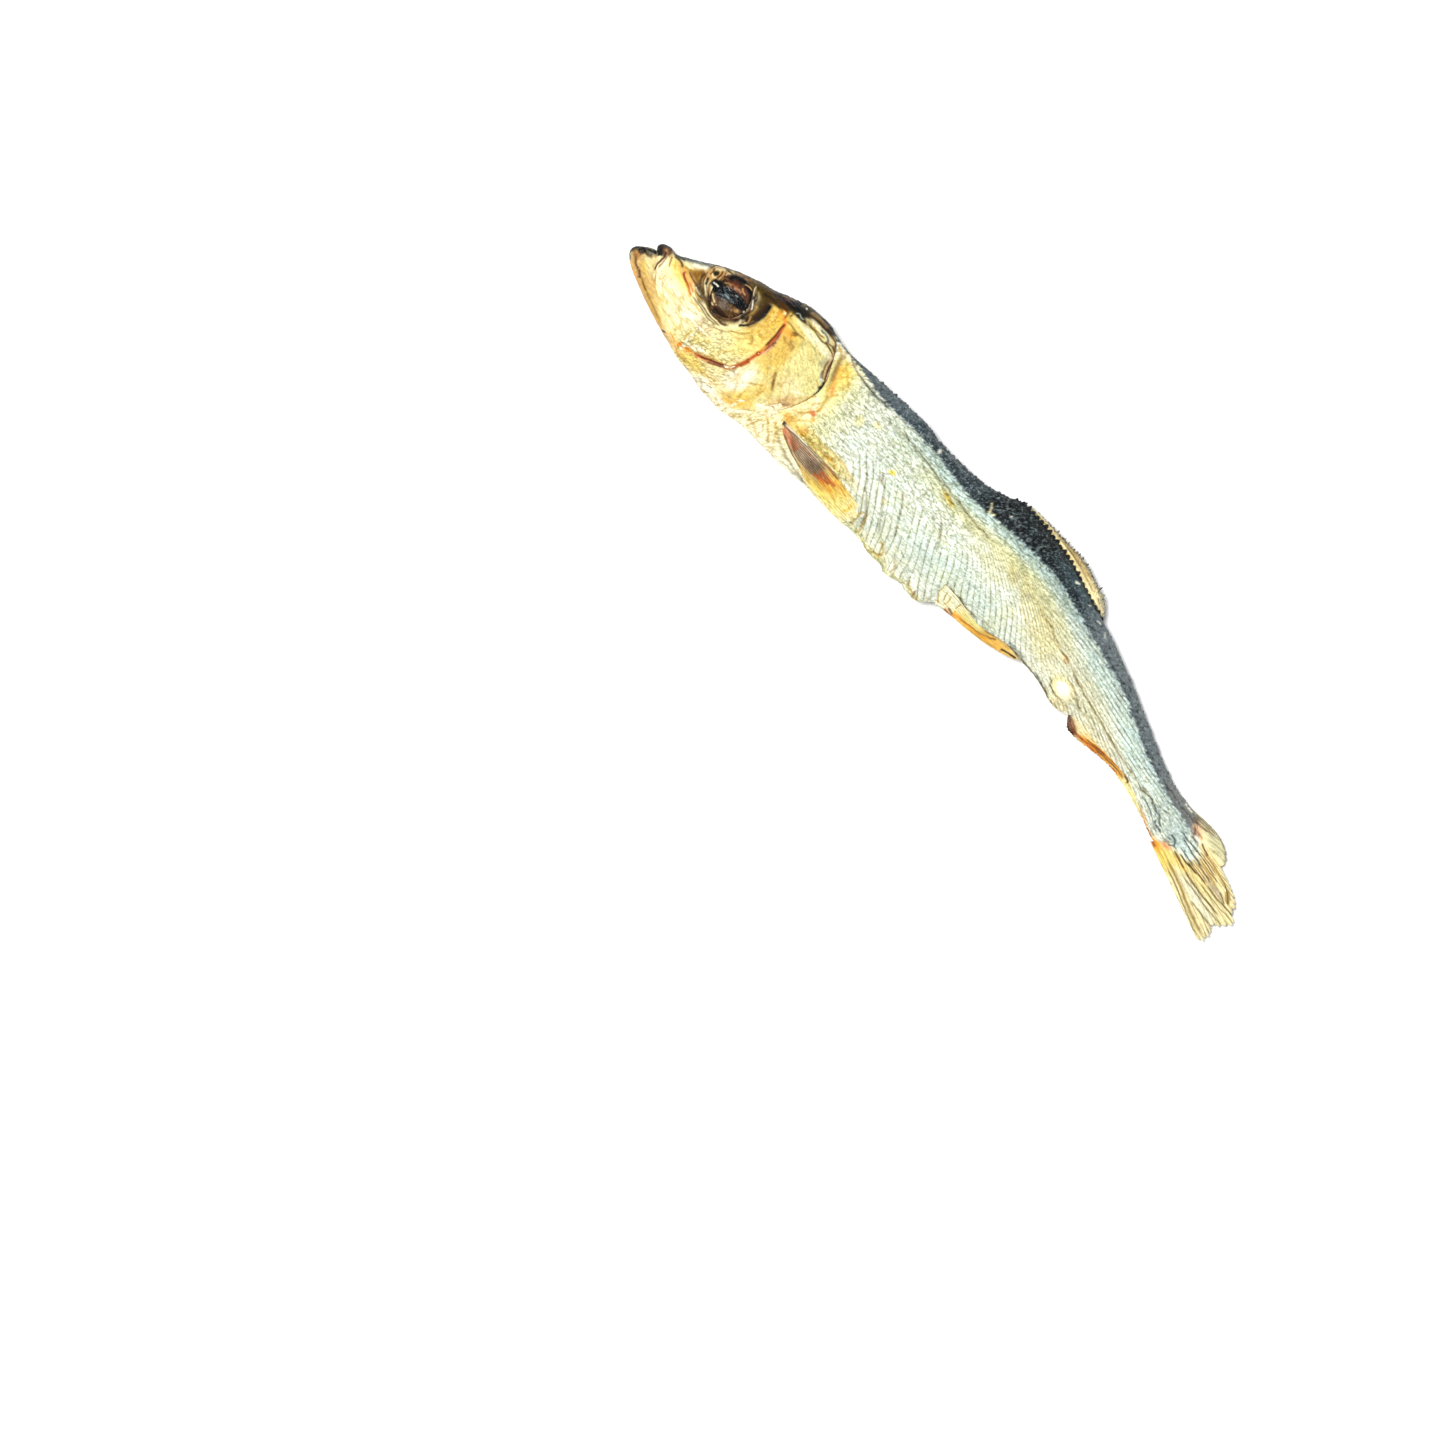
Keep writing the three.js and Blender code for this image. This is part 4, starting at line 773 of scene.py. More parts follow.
EYE_MARKS = (
    # iris, reddish brown above and olive tan below
    spot((20, 11.9), (3, 1), 4, 0.5, brown=0.9, plum=0.2, relief=0.08),
    line(((19, 11.1), (20, 11.6), (21, 11.6)), 0.2, blush=0.45, tan=0.3),
    line(((18, 11.3), (18.9, 11.5), (19.6, 12)), 0.14, rust=0.35, tan=0.2),
    line(((20.2, 12.6), (20.8, 12.1), (21.8, 11.9)), 0.15, tan=0.8),
    line(((21, 12.6), (22, 12.4), (22.8, 11.8)), 0.13, plum=0.9),
    line(((16.8, 10.3), (17.8, 10.9), (18.6, 10.9)), 0.13, tan=0.6),
    spot((20.8, 7), (2.3, 1.1), 20, 0.4, tan=0.3, brown=0.5, olive=0.6, relief=0.08),
    spot((22.7, 8.4), (0.9, 0.4), 40, 0.5, tan=0.55),
    line(((22, 8.4), (22.6, 7.9), (23.2, 7.9)), 0.14, brown=0.8),
    line(((20.8, 7.4), (21.6, 7), (22.4, 7.2)), 0.25, brown=0.5, olive=0.6),
    spot((21, 5.9), (2, 0.5), 8, 0.4, brown=0.9, black=0.4),
    spot((17.6, 6.8), (1.5, 0.5), -30, 0.4, tan=0.5, olive=0.5),
    line(((17, 7.2), (18, 6.6), (19, 6.4)), 0.1, cream=0.8),
    line(((18.2, 6), (18.9, 5.8), (19.4, 6.4)), 0.14, cream=0.6),
    line(((19.2, 7), (19, 6.2), (19.6, 5.6)), 0.13, brown=0.8),
    line(((17.8, 7.3), (18.8, 7.3), (19.6, 7.7)), 0.14, brown=0.7),
    line(((19.2, 7.6), (20.2, 7.6), (21, 7.9)), 0.1, olive=0.7),
    spot((15.8, 10.6), (0.5, 0.6), 20, 0.4, tan=0.4, olive=0.4),
    # black rims
    line(((17, 11.6), (17.4, 12.6), (18.4, 13.2), (19.6, 13.4)), 0.5, -0.1, taper=0.05, black=1),
    line(((19, 13.6), (20.6, 13.4), (22.2, 12.9), (23.4, 11.8), (24, 10.4), (24.2, 8.8), (24, 7.2), (23, 5.8), (21,
         5.2), (19.6, 5.3)), 0.34, -0.12, taper=0.03, black=0.98),
    line(((19.8, 13.3), (20.8, 13.7), (21.8, 13.8)), 0.1, tan=0.9),
    line(((21.6, 13), (22.6, 12.2), (23, 11.4)), 0.13, brown=0.8),
    spot((24, 9.6), (0.18, 0.2), 0, 0.5, white=0.7),
    spot((24.1, 8.6), (0.16, 0.25), 0, 0.5, ash=0.9),
    line(((23.9, 6.4), (24.3, 7), (24.4, 7.8)), 0.1, ash=0.8),
    # the sunk, clouded pupil; its slate, ash, sky and white streaks are painted reflections and highlights
    spot((20.8, 9.8), (2.9, 1.15), 8, 0.18, black=1, relief=-0.25),
    spot((17.4, 8.8), (2.3, 1.3), -6, 0.3, black=1),
    line(((15.6, 9), (15.9, 7.8), (16.8, 6.7), (18.2, 5.7)), 0.34, black=0.9),
    spot((22.3, 10.2), (1.4, 0.8), 10, 0.3, black=1),
    line(((17.8, 9.6), (18.8, 9.2), (20, 9.2)), 0.17, slate=0.9, ash=0.3),
    line(((18.2, 8.2), (19.2, 8.6), (20.6, 8.8), (21.6, 9.2)), 0.17, slate=0.95, ash=0.3),
    line(((18.6, 8.8), (19.4, 8.9), (20.2, 9)), 0.09, sky=0.6),
    line(((18.9, 7.9), (19.8, 8), (20.8, 8.3)), 0.07, ash=0.8),
    line(((15.4, 9), (16.2, 9), (17, 9)), 0.13, white=1),
    line(((18.4, 10.3), (18.9, 10.2)), 0.04, taper=0, sky=0.6),
    line(((20.4, 10.4), (21, 10.5)), 0.05, taper=0, sky=0.7),
)
JAW_MARKS = (
    spot((5.4, 0), (5, 1.8), -26, 0.6, tan=0.65, ochre=0.32, ash=0.06),
    spot((4.4, 1.6), (2.2, 0.9), -32, 0.6, white=0.3, straw=0.3),
    line(((0.6, 0.2), (2, -0.7), (4, -1.4), (7, -2.4)), 0.6, tan=0.7, ochre=0.4),
    line(((3, 1.2), (4.4, 0.2), (6, -0.8)), 0.5, gold=0.5),
    spot((9, -2.6), (6, 1), -22, 0.5, tan=0.4, ochre=0.4),
    line(((0.2, -0.5), (2.5, -1.7), (6, -2.8), (10, -3.9), (15, -5), (21, -5.9)), 0.8, tan=0.85),
    line(((2, -1.4), (5, -2.6), (9, -3.7), (14, -4.8)), 0.2, amber=0.5),
    line(((3, -0.9), (6, -1.9), (9, -2.8), (12, -3.7), (15, -4.5)), 0.2, -0.12, ochre=0.8, olive=0.3),
    line(((0.6, 0.7), (1.6, 0.1), (2.6, -0.7), (3.8, -0.9)), 0.26, -0.08, brown=0.8),
    line(((3.6, -0.9), (4.4, -1.3), (5.2, -1.9)), 0.28, brown=0.85),
    line(((5.4, -1.4), (6.8, -2.1), (8, -2.5)), 0.16, brown=0.6),
    line(((9, -3.4), (12, -4.2), (16, -5)), 0.12, -0.08, ochre=0.8),
    line(((2, 0.9), (3.4, 0.5), (5, -0.3)), 0.1, ochre=0.6),
    spot((0.9, 0.9), (1.2, 0.9), -20, 0.5, brown=0.7, amber=0.3),
    line(((1.4, -1.2), (0.2, -0.3), (-0.5, 0.6), (-0.3, 1.6)), 0.22, taper=0.2, slate=0.8),
    line(((-0.5, 0.6), (-0.3, 1.4), (0.2, 2.1), (1, 2.7), (2, 3.3), (3.4, 4)), 0.52, taper=0, black=1),
    spot((1.2, 2.2), (0.9, 0.7), 30, 0.4, black=1),
    spot((2.8, 2.8), (0.9, 0.6), 10, 0.4, black=0.7, olive=0.5),
    line(((2.3, 3.1), (2.9, 3.1), (3.5, 3.5)), 0.13, 0.08, ash=0.9),
    line(((3.4, 3), (4, 3.5), (4.6, 3.5)), 0.16, tan=0.7),
    line(((1.6, 1.2), (1.9, 1.8), (1.8, 2.2)), 0.18, brown=0.6),
    spot((16.5, -5.1), (0.5, 0.18), 0, 0.4, black=0.7),
)

# ---- Marks of the trunk ----

TRUNK_MARKS = (
    # gold behind the gill cover and at the belly
    spot((46.3, 12), (3.2, 10), 6, 0.6, straw=0.9, gold=0.33, ash=0.08),
    spot((49.5, 9), (4.4, 10), 2, 0.9, straw=0.5),
    spot((46, 4), (3.6, 6), -20, 0.6, cream=0.75),
    spot((44, -2.6), (7, 2.4), 10, 0.6, straw=0.4),
    spot((52, -3), (12, 2.4), 4, 0.6, cream=0.5, white=0.5),
    spot((55, 3.6), (9, 1.5), 4, 0.6, gold=0.6),
    spot((46.6, 17), (1.3, 3), 24, 0.6, gold=0.55),
    spot((44.6, 19.9), (2.6, 0.7), -6, 0.5, cream=0.7, white=0.5),
    line(((35, 20.95), (38, 21), (41, 20.9), (44, 20.75), (46, 20.9)), 0.26, taper=0.03, slate=0.95, black=0.3),
    line(((38, 20.45), (39.2, 20.4), (40.8, 20.3)), 0.2, black=0.9),
    line(((38.4, 20.7), (40.2, 20.6), (42, 20.55)), 0.1, 0.08, white=0.8),
    line(((41, 20), (42.6, 19.4), (44, 18.4)), 0.16, ochre=0.7),
    # painted shadow on the trunk behind the gill cover's edge
    spot((44.7, 16.4), (0.5, 3.2), 24, 0.6, brown=0.6),
    line(((44.6, 18), (45.9, 15.4), (47, 13.6), (48.2, 11.8)), 0.45, amber=0.7),
    line(((46.6, 14.6), (47.4, 13.2), (48.2, 12)), 0.26, rust=0.3),
    line(((45.2, 15.9), (46.2, 14.3), (47, 12.6)), 0.2, -0.12, ochre=0.7),
    line(((44.8, 19.3), (46.4, 17.6), (48.4, 16.4), (50, 14.8)), 0.22, -0.1, ochre=0.6),
    line(((46.3, 13.2), (47.4, 11.4), (48.6, 9.6), (49, 7.8)), 0.3, -0.12, ochre=0.5),
    line(((46.3, 10.4), (47.4, 8.6), (48.2, 7.2)), 0.24, 0.1, white=0.6),
    spot((48.3, 7.3), (0.75, 0.55), 10, 0.4, rust=0.85, relief=0.05),
    spot((49.2, 6.4), (0.5, 0.4), 0, 0.5, amber=0.75),
    spot((48.8, 8.6), (0.4, 0.5), 0, 0.5, amber=0.55),
    line(((45.4, 4.4), (47, 5.8), (48.4, 7.6)), 0.22, -0.12, ochre=0.6),
    line(((45.6, 3), (47.6, 4.2), (49.6, 6)), 0.2, -0.1, ochre=0.5),
    spot((49.9, 3.6), (1.1, 0.7), 20, 0.6, amber=0.7),
    spot((57.2, 3.8), (1, 0.6), 30, 0.6, amber=0.5),
    spot((46.2, 2.6), (1.6, 0.7), -20, 0.6, amber=0.55),
    line(((44.6, 2.4), (46.4, 3.2), (50, 3), (54, 3.4), (58, 3.8), (61, 3.6)), 0.3, -0.1, ochre=0.65),
    line(((50, 5.2), (53, 4.6), (56, 5), (60, 5.2), (64, 4.4)), 0.24, -0.08, ochre=0.5),
    # creases of the belly
    line(((42, 0.2), (44.6, -1.4), (47, -3.4)), 0.2, -0.14, ochre=0.6),
    line(((44.6, 0.4), (46.6, -1), (48, -3)), 0.24, -0.14, ochre=0.55),
    line(((46.6, -0.6), (50, -2.1), (54, -2.6), (59, -3)), 0.2, -0.14, olive=0.4),
    line(((39.6, -3.2), (42.6, -3.4), (45, -4.2)), 0.2, -0.12, tan=0.5),
    line(((52, -3.4), (55, -3.2), (58.6, -3)), 0.16, -0.08, slate=0.4),
    line(((69.8, 2.4), (69.9, 0.4), (70.2, -1.6)), 0.26, -0.15, ochre=0.7),
    line(((70.2, 3), (71.5, 1.4), (72.4, -1.5)), 0.2, -0.12, ochre=0.6),
    line(((76.4, 1.2), (78.2, 0.4), (78.6, -0.8), (77.2, -1.4)), 0.22, -0.16, ochre=0.7),
    line(((73.5, -1.1), (75.6, -1.9), (78, -1.5), (80, -0.6)), 0.18, ochre=0.5),
    line(((81, 1.6), (82.2, 0), (82.6, -1.6)), 0.2, -0.12, tan=0.6),
    line(((88.6, -0.1), (89, -0.9)), 0.2, taper=0, brown=0.8),
    line(((85.6, 0), (87, -0.4), (89, -0.8), (91, -0.8), (92.6, 0.4)), 0.26, -0.08, ochre=0.55),
    line(((92.4, 0.4), (92.7, 1)), 0.22, taper=0, slate=0.8),
    line(((91.6, 5.6), (92.2, 3.8), (93.4, 2.2)), 0.26, -0.15, ochre=0.7),
    line(((93.4, 5.8), (94.4, 3.8), (95, 2.4)), 0.24, -0.15, ochre=0.65),
    # folds that start at the pectoral fin's level
    line(((63.3, 9), (64.6, 7.8), (66.6, 5.8), (69, 3.6), (70.8, 2), (72, -0.4)), 0.17, -0.14, olive=0.4),
    line(((65.4, 8.9), (67.4, 9.1), (69.2, 8.4), (71.4, 6.2), (73.4, 3.6), (75.6, 1)), 0.16, -0.12, olive=0.35),
    line(((71.8, 11), (74, 8.8), (76, 6.2), (78.4, 3.4)), 0.15, -0.1, olive=0.35),
    line(((66.2, 10.2), (66.8, 10), (67.3, 9.5), (67.5, 8.9)), 0.16, -0.1, plum=0.7),
    line(((80, 14), (82, 12.4), (84.4, 10), (85.6, 7.4)), 0.15, -0.1, olive=0.45),
    # lengthwise creases under the back
    line(((44.8, 20.1), (48, 19.5), (51, 19.2), (54.5, 19.3), (58, 19.6)), 0.17, -0.16, slate=0.85),
    line(((45.4, 19.9), (50, 19.6), (55, 19.9), (60, 20.4)), 0.2, white=0.7),
    line(((51.5, 18.9), (53, 18.7), (54, 19)), 0.12, slate=0.6),
    line(((60.5, 18.4), (66, 18.7), (70, 18.5), (74, 18.3), (80, 18.3), (85, 18), (92, 18.6)), 0.17, -0.12, olive=0.5),
    spot((78.9, 16.9), (1.9, 0.5), -14, 0.4, olive=0.45, gold=0.8),
    line(((77.4, 17.4), (79, 17.3), (80.4, 16.7)), 0.14, -0.08, olive=0.6),
    spot((86, 17.4), (13, 1.6), 0, 0.8, gold=0.08, olive=0.04),
    spot((98.6, 17), (2.2, 0.9), -30, 0.8, gold=0.25, olive=0.06),
    spot((106, 18), (10, 1.5), -6, 0.8, straw=0.2, olive=0.05),
    spot((67.6, 11.8), (0.8, 0.5), 10, 0.35, gold=1),
    spot((58.4, 15.4), (0.8, 0.6), 0, 0.6, gold=0.5),
    spot((55.4, 13.4), (1, 0.9), 0, 0.7, gold=0.4),
    spot((52, 13.2), (1.4, 0.8), 20, 0.6, white=0.8, relief=0.08),
    spot((71, 6.8), (0.7, 0.5), 0, 0.6, gold=0.25),
    # the rear: pale gold, streaks along the side line, a blister
    spot((112, 13.4), (9, 3.4), -26, 0.8, gold=0.1, straw=0.1),
    spot((114, 13), (5, 1.8), -26, 0.8, gold=0.1, straw=0.1),
    spot((126, 12.4), (12, 2.2), -10, 0.8, gold=0.06, white=0.06),
    line(((108, 17), (112, 16.2), (114, 15.4), (116.4, 14.9), (118.4, 14.7), (120, 14)), 0.2, -0.12, ochre=0.35,
         olive=0.3),
    spot((118.3, 14.2), (0.9, 0.5), -20, 0.8, amber=0.35),
    line(((117.3, 15), (118.6, 14.6), (119.4, 13.8)), 0.18, -0.1, rust=0.2),
    line(((119.5, 14.2), (123, 13.4), (127, 12.7), (131, 12.2), (135, 11.4), (140, 10.4), (145, 9.9), (149, 9.4)), 0.13,
         -0.12, olive=0.6, ochre=0.25),
    *(line(((100 + f, 18.2 - f), (106, 16.5 - f), (112, 14.6 - f), (117 - 0.6 * f, 12.9 - f)), 0.14, gold=0.22,
           ochre=0.14, relief=-0.06) for f in (-0.9, 0.1, 1.1, 1.9, 2.8)),
    *(line(((121, 13.2 - f), (127, 12 - f), (134, 10.8 - 0.8 * f), (142, 9.6 - 0.4 * f)), 0.08, olive=0.24, ochre=0.12,
           relief=-0.06) for f in (-0.7, 0.8, 1.6)),
    line(((121, 12.6), (124, 12), (126, 10.8), (129, 9.8)), 0.12, -0.08, olive=0.6),
    spot((122.7, 10.2), (3, 2.1), -10, 0.3, cream=0.7, straw=0.3, relief=0.1),
    line(((120.9, 10.8), (122.2, 11.8), (124, 11.4), (124.9, 10.2)), 0.12, ochre=0.4, ash=0.2),
    spot((122.9, 10.1), (1.9, 1.2), -6, 0.7, white=0.7, relief=0.4),
    line(((119.6, 10.2), (120.2, 9), (121.4, 8.3), (123.6, 8.3), (125.2, 8.6)), 0.14, -0.15, olive=0.7),
    line(((120.2, 11), (120.6, 9.8), (121.8, 8.9)), 0.2, gold=0.3, straw=0.3),
    line(((125.2, 8.3), (126, 8.6), (126.4, 8)), 0.13, -0.12, olive=0.7),
    spot((124.4, 7.4), (2.6, 1.1), 14, 0.5, cream=0.8),
    line(((122.4, 7), (123.6, 6.7), (125.2, 7)), 0.16, -0.1, olive=0.5),
    # painted shade along the belly's dark rear edge and above the pelvic fin, the vent
    line(((106, 5.6), (109, 7.3), (112, 7.6), (116, 7.5), (120, 7.3), (123, 6.6)), 0.28, olive=0.75),
    line(((116, 7.9), (118, 7.7), (120, 7.7)), 0.24, black=0.55),
    line(((108, 7.9), (111, 8.2), (113, 8.4)), 0.2, slate=0.5),
    line(((92, 5.8), (94, 5.8), (95.6, 5.9), (97.4, 5.7), (101, 5.8)), 0.16, -0.15, olive=0.75),
    line(((128, 8.2), (133, 8), (139, 8.2), (144, 9)), 0.14, brown=0.25, ochre=0.3),
    spot((134, 8.8), (6, 0.8), 0, 0.6, cream=0.5),
    # root of the tail
    spot((159, 9), (8, 2.8), -4, 0.6, sky=0.5, white=0.3),
    spot((151, 9.8), (7, 2), -12, 0.7, white=0.35, sky=0.2),
    spot((148.4, 9.6), (1, 0.5), 20, 0.6, olive=0.5),
    line(((148, 9.2), (150, 9.6), (152.4, 9.2)), 0.16, -0.1, olive=0.8),
    line(((149, 8.6), (151.4, 8.2), (153.6, 7.8)), 0.13, -0.08, slate=0.6),
    line(((152, 9.6), (153.4, 9.1), (155, 8.4), (156.6, 7.2)), 0.18, -0.12, slate=0.8),
    line(((154.6, 7.5), (156, 6.9), (157.4, 6.6)), 0.2, -0.1, slate=0.9),
    line(((152.6, 7.8), (154.6, 7), (156.8, 6)), 0.1, slate=0.6),
    line(((156, 10), (157.6, 9.2), (158.6, 8.9)), 0.12, -0.08, slate=0.6),
    line(((152.6, 10.1), (154, 10.1), (155.6, 10.6)), 0.1, slate=0.6),
    line(((146, 7.6), (150, 6.7), (154, 5.6), (157, 4.6)), 0.3, tan=0.5),
)
# Marks over the trunk's end and the roots of the tail's rays alike.
ROOT_MARKS = (
    spot((161.4, 9), (4.6, 2.1), -2, 0.3, sky=0.8, white=0.2, ash=0.26),
    spot((168, 9), (3.2, 2.6), 0, 0.6, white=0.1, gold=0.06, amber=0.1),
    *(line(((165.4, y), (168.4, y - 0.1), (171.4, y - 0.4)), 0.05, brown=0.55, relief=-0.05)
      for y in (10.3, 9.9, 9.4, 8.9, 8.3, 7.8, 7.4)),
    line(((158.2, 5), (161, 5.4), (164, 5.7), (167, 5.8)), 0.45, straw=0.6, amber=0.35),
    spot((160, 5.9), (1.2, 0.4), 12, 0.6, blush=0.5, rust=0.3),
    line(((158.6, 6.3), (159.8, 6.5), (161.6, 7.2)), 0.12, plum=0.6),
    line(((150, 6.9), (153, 6), (155.5, 5.2), (157.5, 4.6), (159.6, 4.6)), 0.3, blush=0.3, amber=0.35),
    spot((158.6, 4.5), (1.6, 0.6), -16, 0.5, amber=0.9),
    line(((154.6, 5.3), (156, 4.8), (157.4, 4.4), (159, 4)), 0.24, brown=0.7, rust=0.4),
    # fingers of skin between dark grooves
    line(((161, 10.6), (163.4, 10.6), (165.8, 10.4)), 0.24, white=0.65),
    line(((161.6, 9.7), (164, 9.6), (166.6, 9.4)), 0.22, white=0.65),
    line(((161.4, 8.5), (163.6, 8.4), (165.8, 8.1)), 0.35, sky=0.9, white=0.3),
    line(((161.8, 7.4), (163.6, 7.4), (165.4, 7.3)), 0.24, white=0.65),
    line(((159.6, 10), (161.6, 10.1), (163.4, 10.1), (166.4, 9.8)), 0.08, -0.08, slate=0.8),
    line(((160.8, 9.7), (162.4, 9.4), (164, 9), (166, 8.8), (168, 8.6)), 0.1, -0.08, slate=0.85),
    line(((162, 7.9), (164, 7.8), (166.6, 7.5)), 0.08, -0.08, slate=0.75),
    line(((163, 6.9), (165, 7), (168.6, 6.9)), 0.13, -0.08, olive=0.95),
    line(((161.8, 6.6), (163.6, 6.2), (166, 5.8)), 0.13, brown=0.4, olive=0.7),
    line(((158.8, 8.2), (160, 8.1), (160.8, 7.6), (161.2, 7)), 0.14, -0.08, slate=0.9),
    line(((158.8, 7.4), (160, 7.3)), 0.1, slate=0.9),
    line(((160, 6.4), (161, 7), (162, 7)), 0.1, slate=0.6),
    # where the dark back turns to rust and cream
    line(((160.2, 13.2), (163, 12.6), (166, 12)), 0.8, taper=0.1, cream=0.9),
    line(((156.6, 13.5), (159.4, 13.5), (161.4, 13.8)), 0.3, ash=0.5, brown=0.2),
    spot((162, 12.4), (1.7, 0.9), -30, 0.8, blush=0.35, plum=0.2),
    line(((160.2, 13), (162, 12.6), (164, 12.3)), 0.13, rust=0.3, brown=0.3),
    spot((161.6, 11.9), (1.1, 0.45), -34, 0.7, plum=0.3),
    line(((160, 13.6), (161.6, 13.7), (163.4, 14)), 0.1, brown=0.6),
    line(((161, 12.8), (161.8, 12.2), (162.6, 11.3)), 0.2, brown=0.6),
    spot((163.4, 11.5), (1, 0.35), -8, white=0.9),
    line(((162.2, 11.2), (163, 11), (163.8, 11.1)), 0.1, slate=0.7),
    line(((164.2, 11.8), (165.6, 11.3), (167.2, 11)), 0.14, brown=0.8),
)
BACK_MARKS = (
    # the white and sky specks and dashes on the dark back are painted glints
    spot((70.5, 21.8), (0.45, 0.6), 0, 0.4, white=0.75),
    line(((66.2, 22.9), (70, 22.5), (74, 22.9), (78, 22.9)), 0.14, -0.08, ash=0.7),
    line(((116.6, 24.2), (117.6, 24.3)), 0.14, taper=0, white=0.7),
    line(((119.4, 24), (120.4, 23.1)), 0.12, taper=0, white=0.6),
    line(((86.5, 26.2), (87.4, 25.2)), 0.12, taper=0, ash=0.6),
    line(((156.4, 14.2), (158.4, 14.3)), 0.16, taper=0, white=0.9),
    line(((85.2, 23), (85.8, 22.2), (86.1, 21.4)), 0.13, 0.2, taper=0, cream=0.9),
    line(((86.1, 21.6), (86.8, 21.7), (87.2, 22)), 0.1, 0.15, taper=0, straw=0.8),
    line(((91.2, 24.9), (92, 24.7), (92.2, 24.1)), 0.1, taper=0, ash=0.9),
    spot((89.5, 24.3), (0.22, 0.25), white=0.9),
    spot((88, 24.8), (0.18, 0.2), white=0.6),
    spot((85.2, 24.8), (0.18, 0.2), sky=0.6),
    spot((108.4, 26.1), (0.5, 0.2), 20, white=0.9),
    spot((113.2, 25.1), (0.3, 0.15), white=0.7),
    line(((150, 14), (155, 13.4), (161, 13.4)), 0.16, -0.08, black=0.4),
)


def head_coat(points, t, colours):
    """Pigments and relief of the head: cream skin with wrinkles that follow the maxilla's edge, rings round
    the eye, rays on the gill cover, and the marks above."""
    coat = Coat(points, colours, "cream", 100, wobble=0.5)
    x, y = points[..., 0], points[..., 1]
    eye_distance = np.hypot(x - EYE_CENTRE[0], y - EYE_CENTRE[1])
    eye_angle = np.arctan2(y - EYE_CENTRE[1], x - EYE_CENTRE[0])
    cover = smooth_step(x, 31.5, 2)
    cheek = (1 - cover) * smooth_step(eye_distance, 5.2, 1.5)
    coat.lay(smooth_step(coat.clouds(5, x / 5, y / 5) + 0.3) * (1 - 0.5 * cover), straw=0.4)
    coat.lay(smooth_step(coat.clouds(6, x / 2.4, y / 1.8) + 0.4), ochre=0.14)
    lid = bump(eye_distance, 4.6, 0.7) * smooth_step(x, 16, 1.6)
    coat.lay(lid, brown=0.95)
    coat.lay(lid * smooth_step(coat.noise(31, x / 1.1, y / 1.1) * 2 + 0.6), black=0.8, relief=0.1)
    coat.marks(HEAD_MARKS)
    under_ridge = back_line(x) - y + 0.5 * coat.noise(35, x / 1.6, y / 0.8)
    crown = (1 - smooth_step(under_ridge, 0.12, 0.4)) * smooth_step(x, 4, 3)
    coat.lay(crown, olive=0.75, black=0.4)
    coat.lay(crown * smooth_step(x, 21, 6), black=0.6)
    streaks = coat.noise(36, (x - 0.6 * y) / 1.8, (y - 0.2 * x) / 0.3)
    coat.lay(crown * smooth_step(streaks * 3 - 0.3), relief=0.04, tan=0.4)
    coat.lay(crown * smooth_step(-streaks * 3 - 0.2), relief=-0.04, brown=0.6)
    coat.lay(crown * smooth_step(x, 16, -5), slate=0.4, ash=0.35)
    light = 1 - np.clip(coat.dark(), 0, 1)
    cover, cheek = cover * light, cheek * light
    below, along, _, _ = nearest(x, y, MAXILLA_EDGE)
    low = smooth_step(y, 4.5, -3)
    coat.wrinkles(along, below, 5.0, 0.9, cheek * low, width=0.12, relief=-0.06, ochre=0.45)
    coat.wrinkles(along, below, 2.4, 0.6, cheek * low, width=0.12, salt=1, relief=-0.03, olive=0.2)
    commas = cheek * smooth_step(x, 18, 3) * smooth_step(y, 6, -2)
    coat.wrinkles(x + 0.5 * y, y - 0.5 * x, 0.9, 0.55, commas, width=0.15, salt=8, relief=-0.05, olive=0.42)
    coat.wrinkles(eye_angle * 6, eye_distance, 3.0, 0.7, cheek * smooth_step(eye_distance, 9, -3),
                  width=0.14, salt=2, relief=-0.07, brown=0.4)
    over, under = x - COVER_RAYS[0], COVER_RAYS[1] - y
    rays = np.arctan2(under, over)
    reach = np.hypot(over, under)
    coat.wrinkles(reach, rays * 10, 6.0, 0.8, cover * 0.8, width=0.12, salt=3, relief=-0.05, ochre=0.45)
    coat.wrinkles(reach, rays * 10, 2.2, 0.6, cover * 0.8, width=0.12, salt=4, relief=-0.03, olive=0.2)
    coat.wrinkles(x, y, 0.9, 0.6, cover * 0.8, width=0.12, salt=6, relief=-0.03, olive=0.2)
    behind_eye = bump(x, 29.2, 2.2) * smooth_step(y, 3, 3)
    coat.wrinkles(x - 0.3 * y, y, 1.1, 0.9, behind_eye * light, salt=5, relief=-0.1, ochre=0.75)
    coat.wrinkles(x, y, 0.7, 0.9, behind_eye * light * 0.8, salt=7, relief=-0.05, brown=0.22)
    coat.lay(behind_eye * light * smooth_step(coat.noise(34, x / 0.8, y / 1.1) * 2), straw=0.45, relief=0.06)
    coat.lay(smooth_step(coat.clouds(10, x / 1.2, y / 0.7) * 1.6 - 0.35) * 0.6 * light, relief=0.02, white=0.3)
    coat.relief += 0.20 * coat.clouds(14, x / 4, y / 3) + 0.045 * coat.clouds(18, x / 0.7, y / 0.6)
    nape = smooth_step(t, 0.9, 0.08) * smooth_step(x, 24, 4)
    coat.relief += 0.12 * nape * coat.noise(22, x / 3.5, y / 0.42)
    dark = coat.dark()
    coat.masks = dict(
        grain=0.2 + 0.4 * dark,
        flecks_and_glints=0 * dark,
        threads=0.35 * (1 - dark),
        sheen=0.10 * cover,
        rough=0.42 - 0.08 * dark + 0.05 * coat.clouds(26, x / 2, y / 2),
    )
    return coat


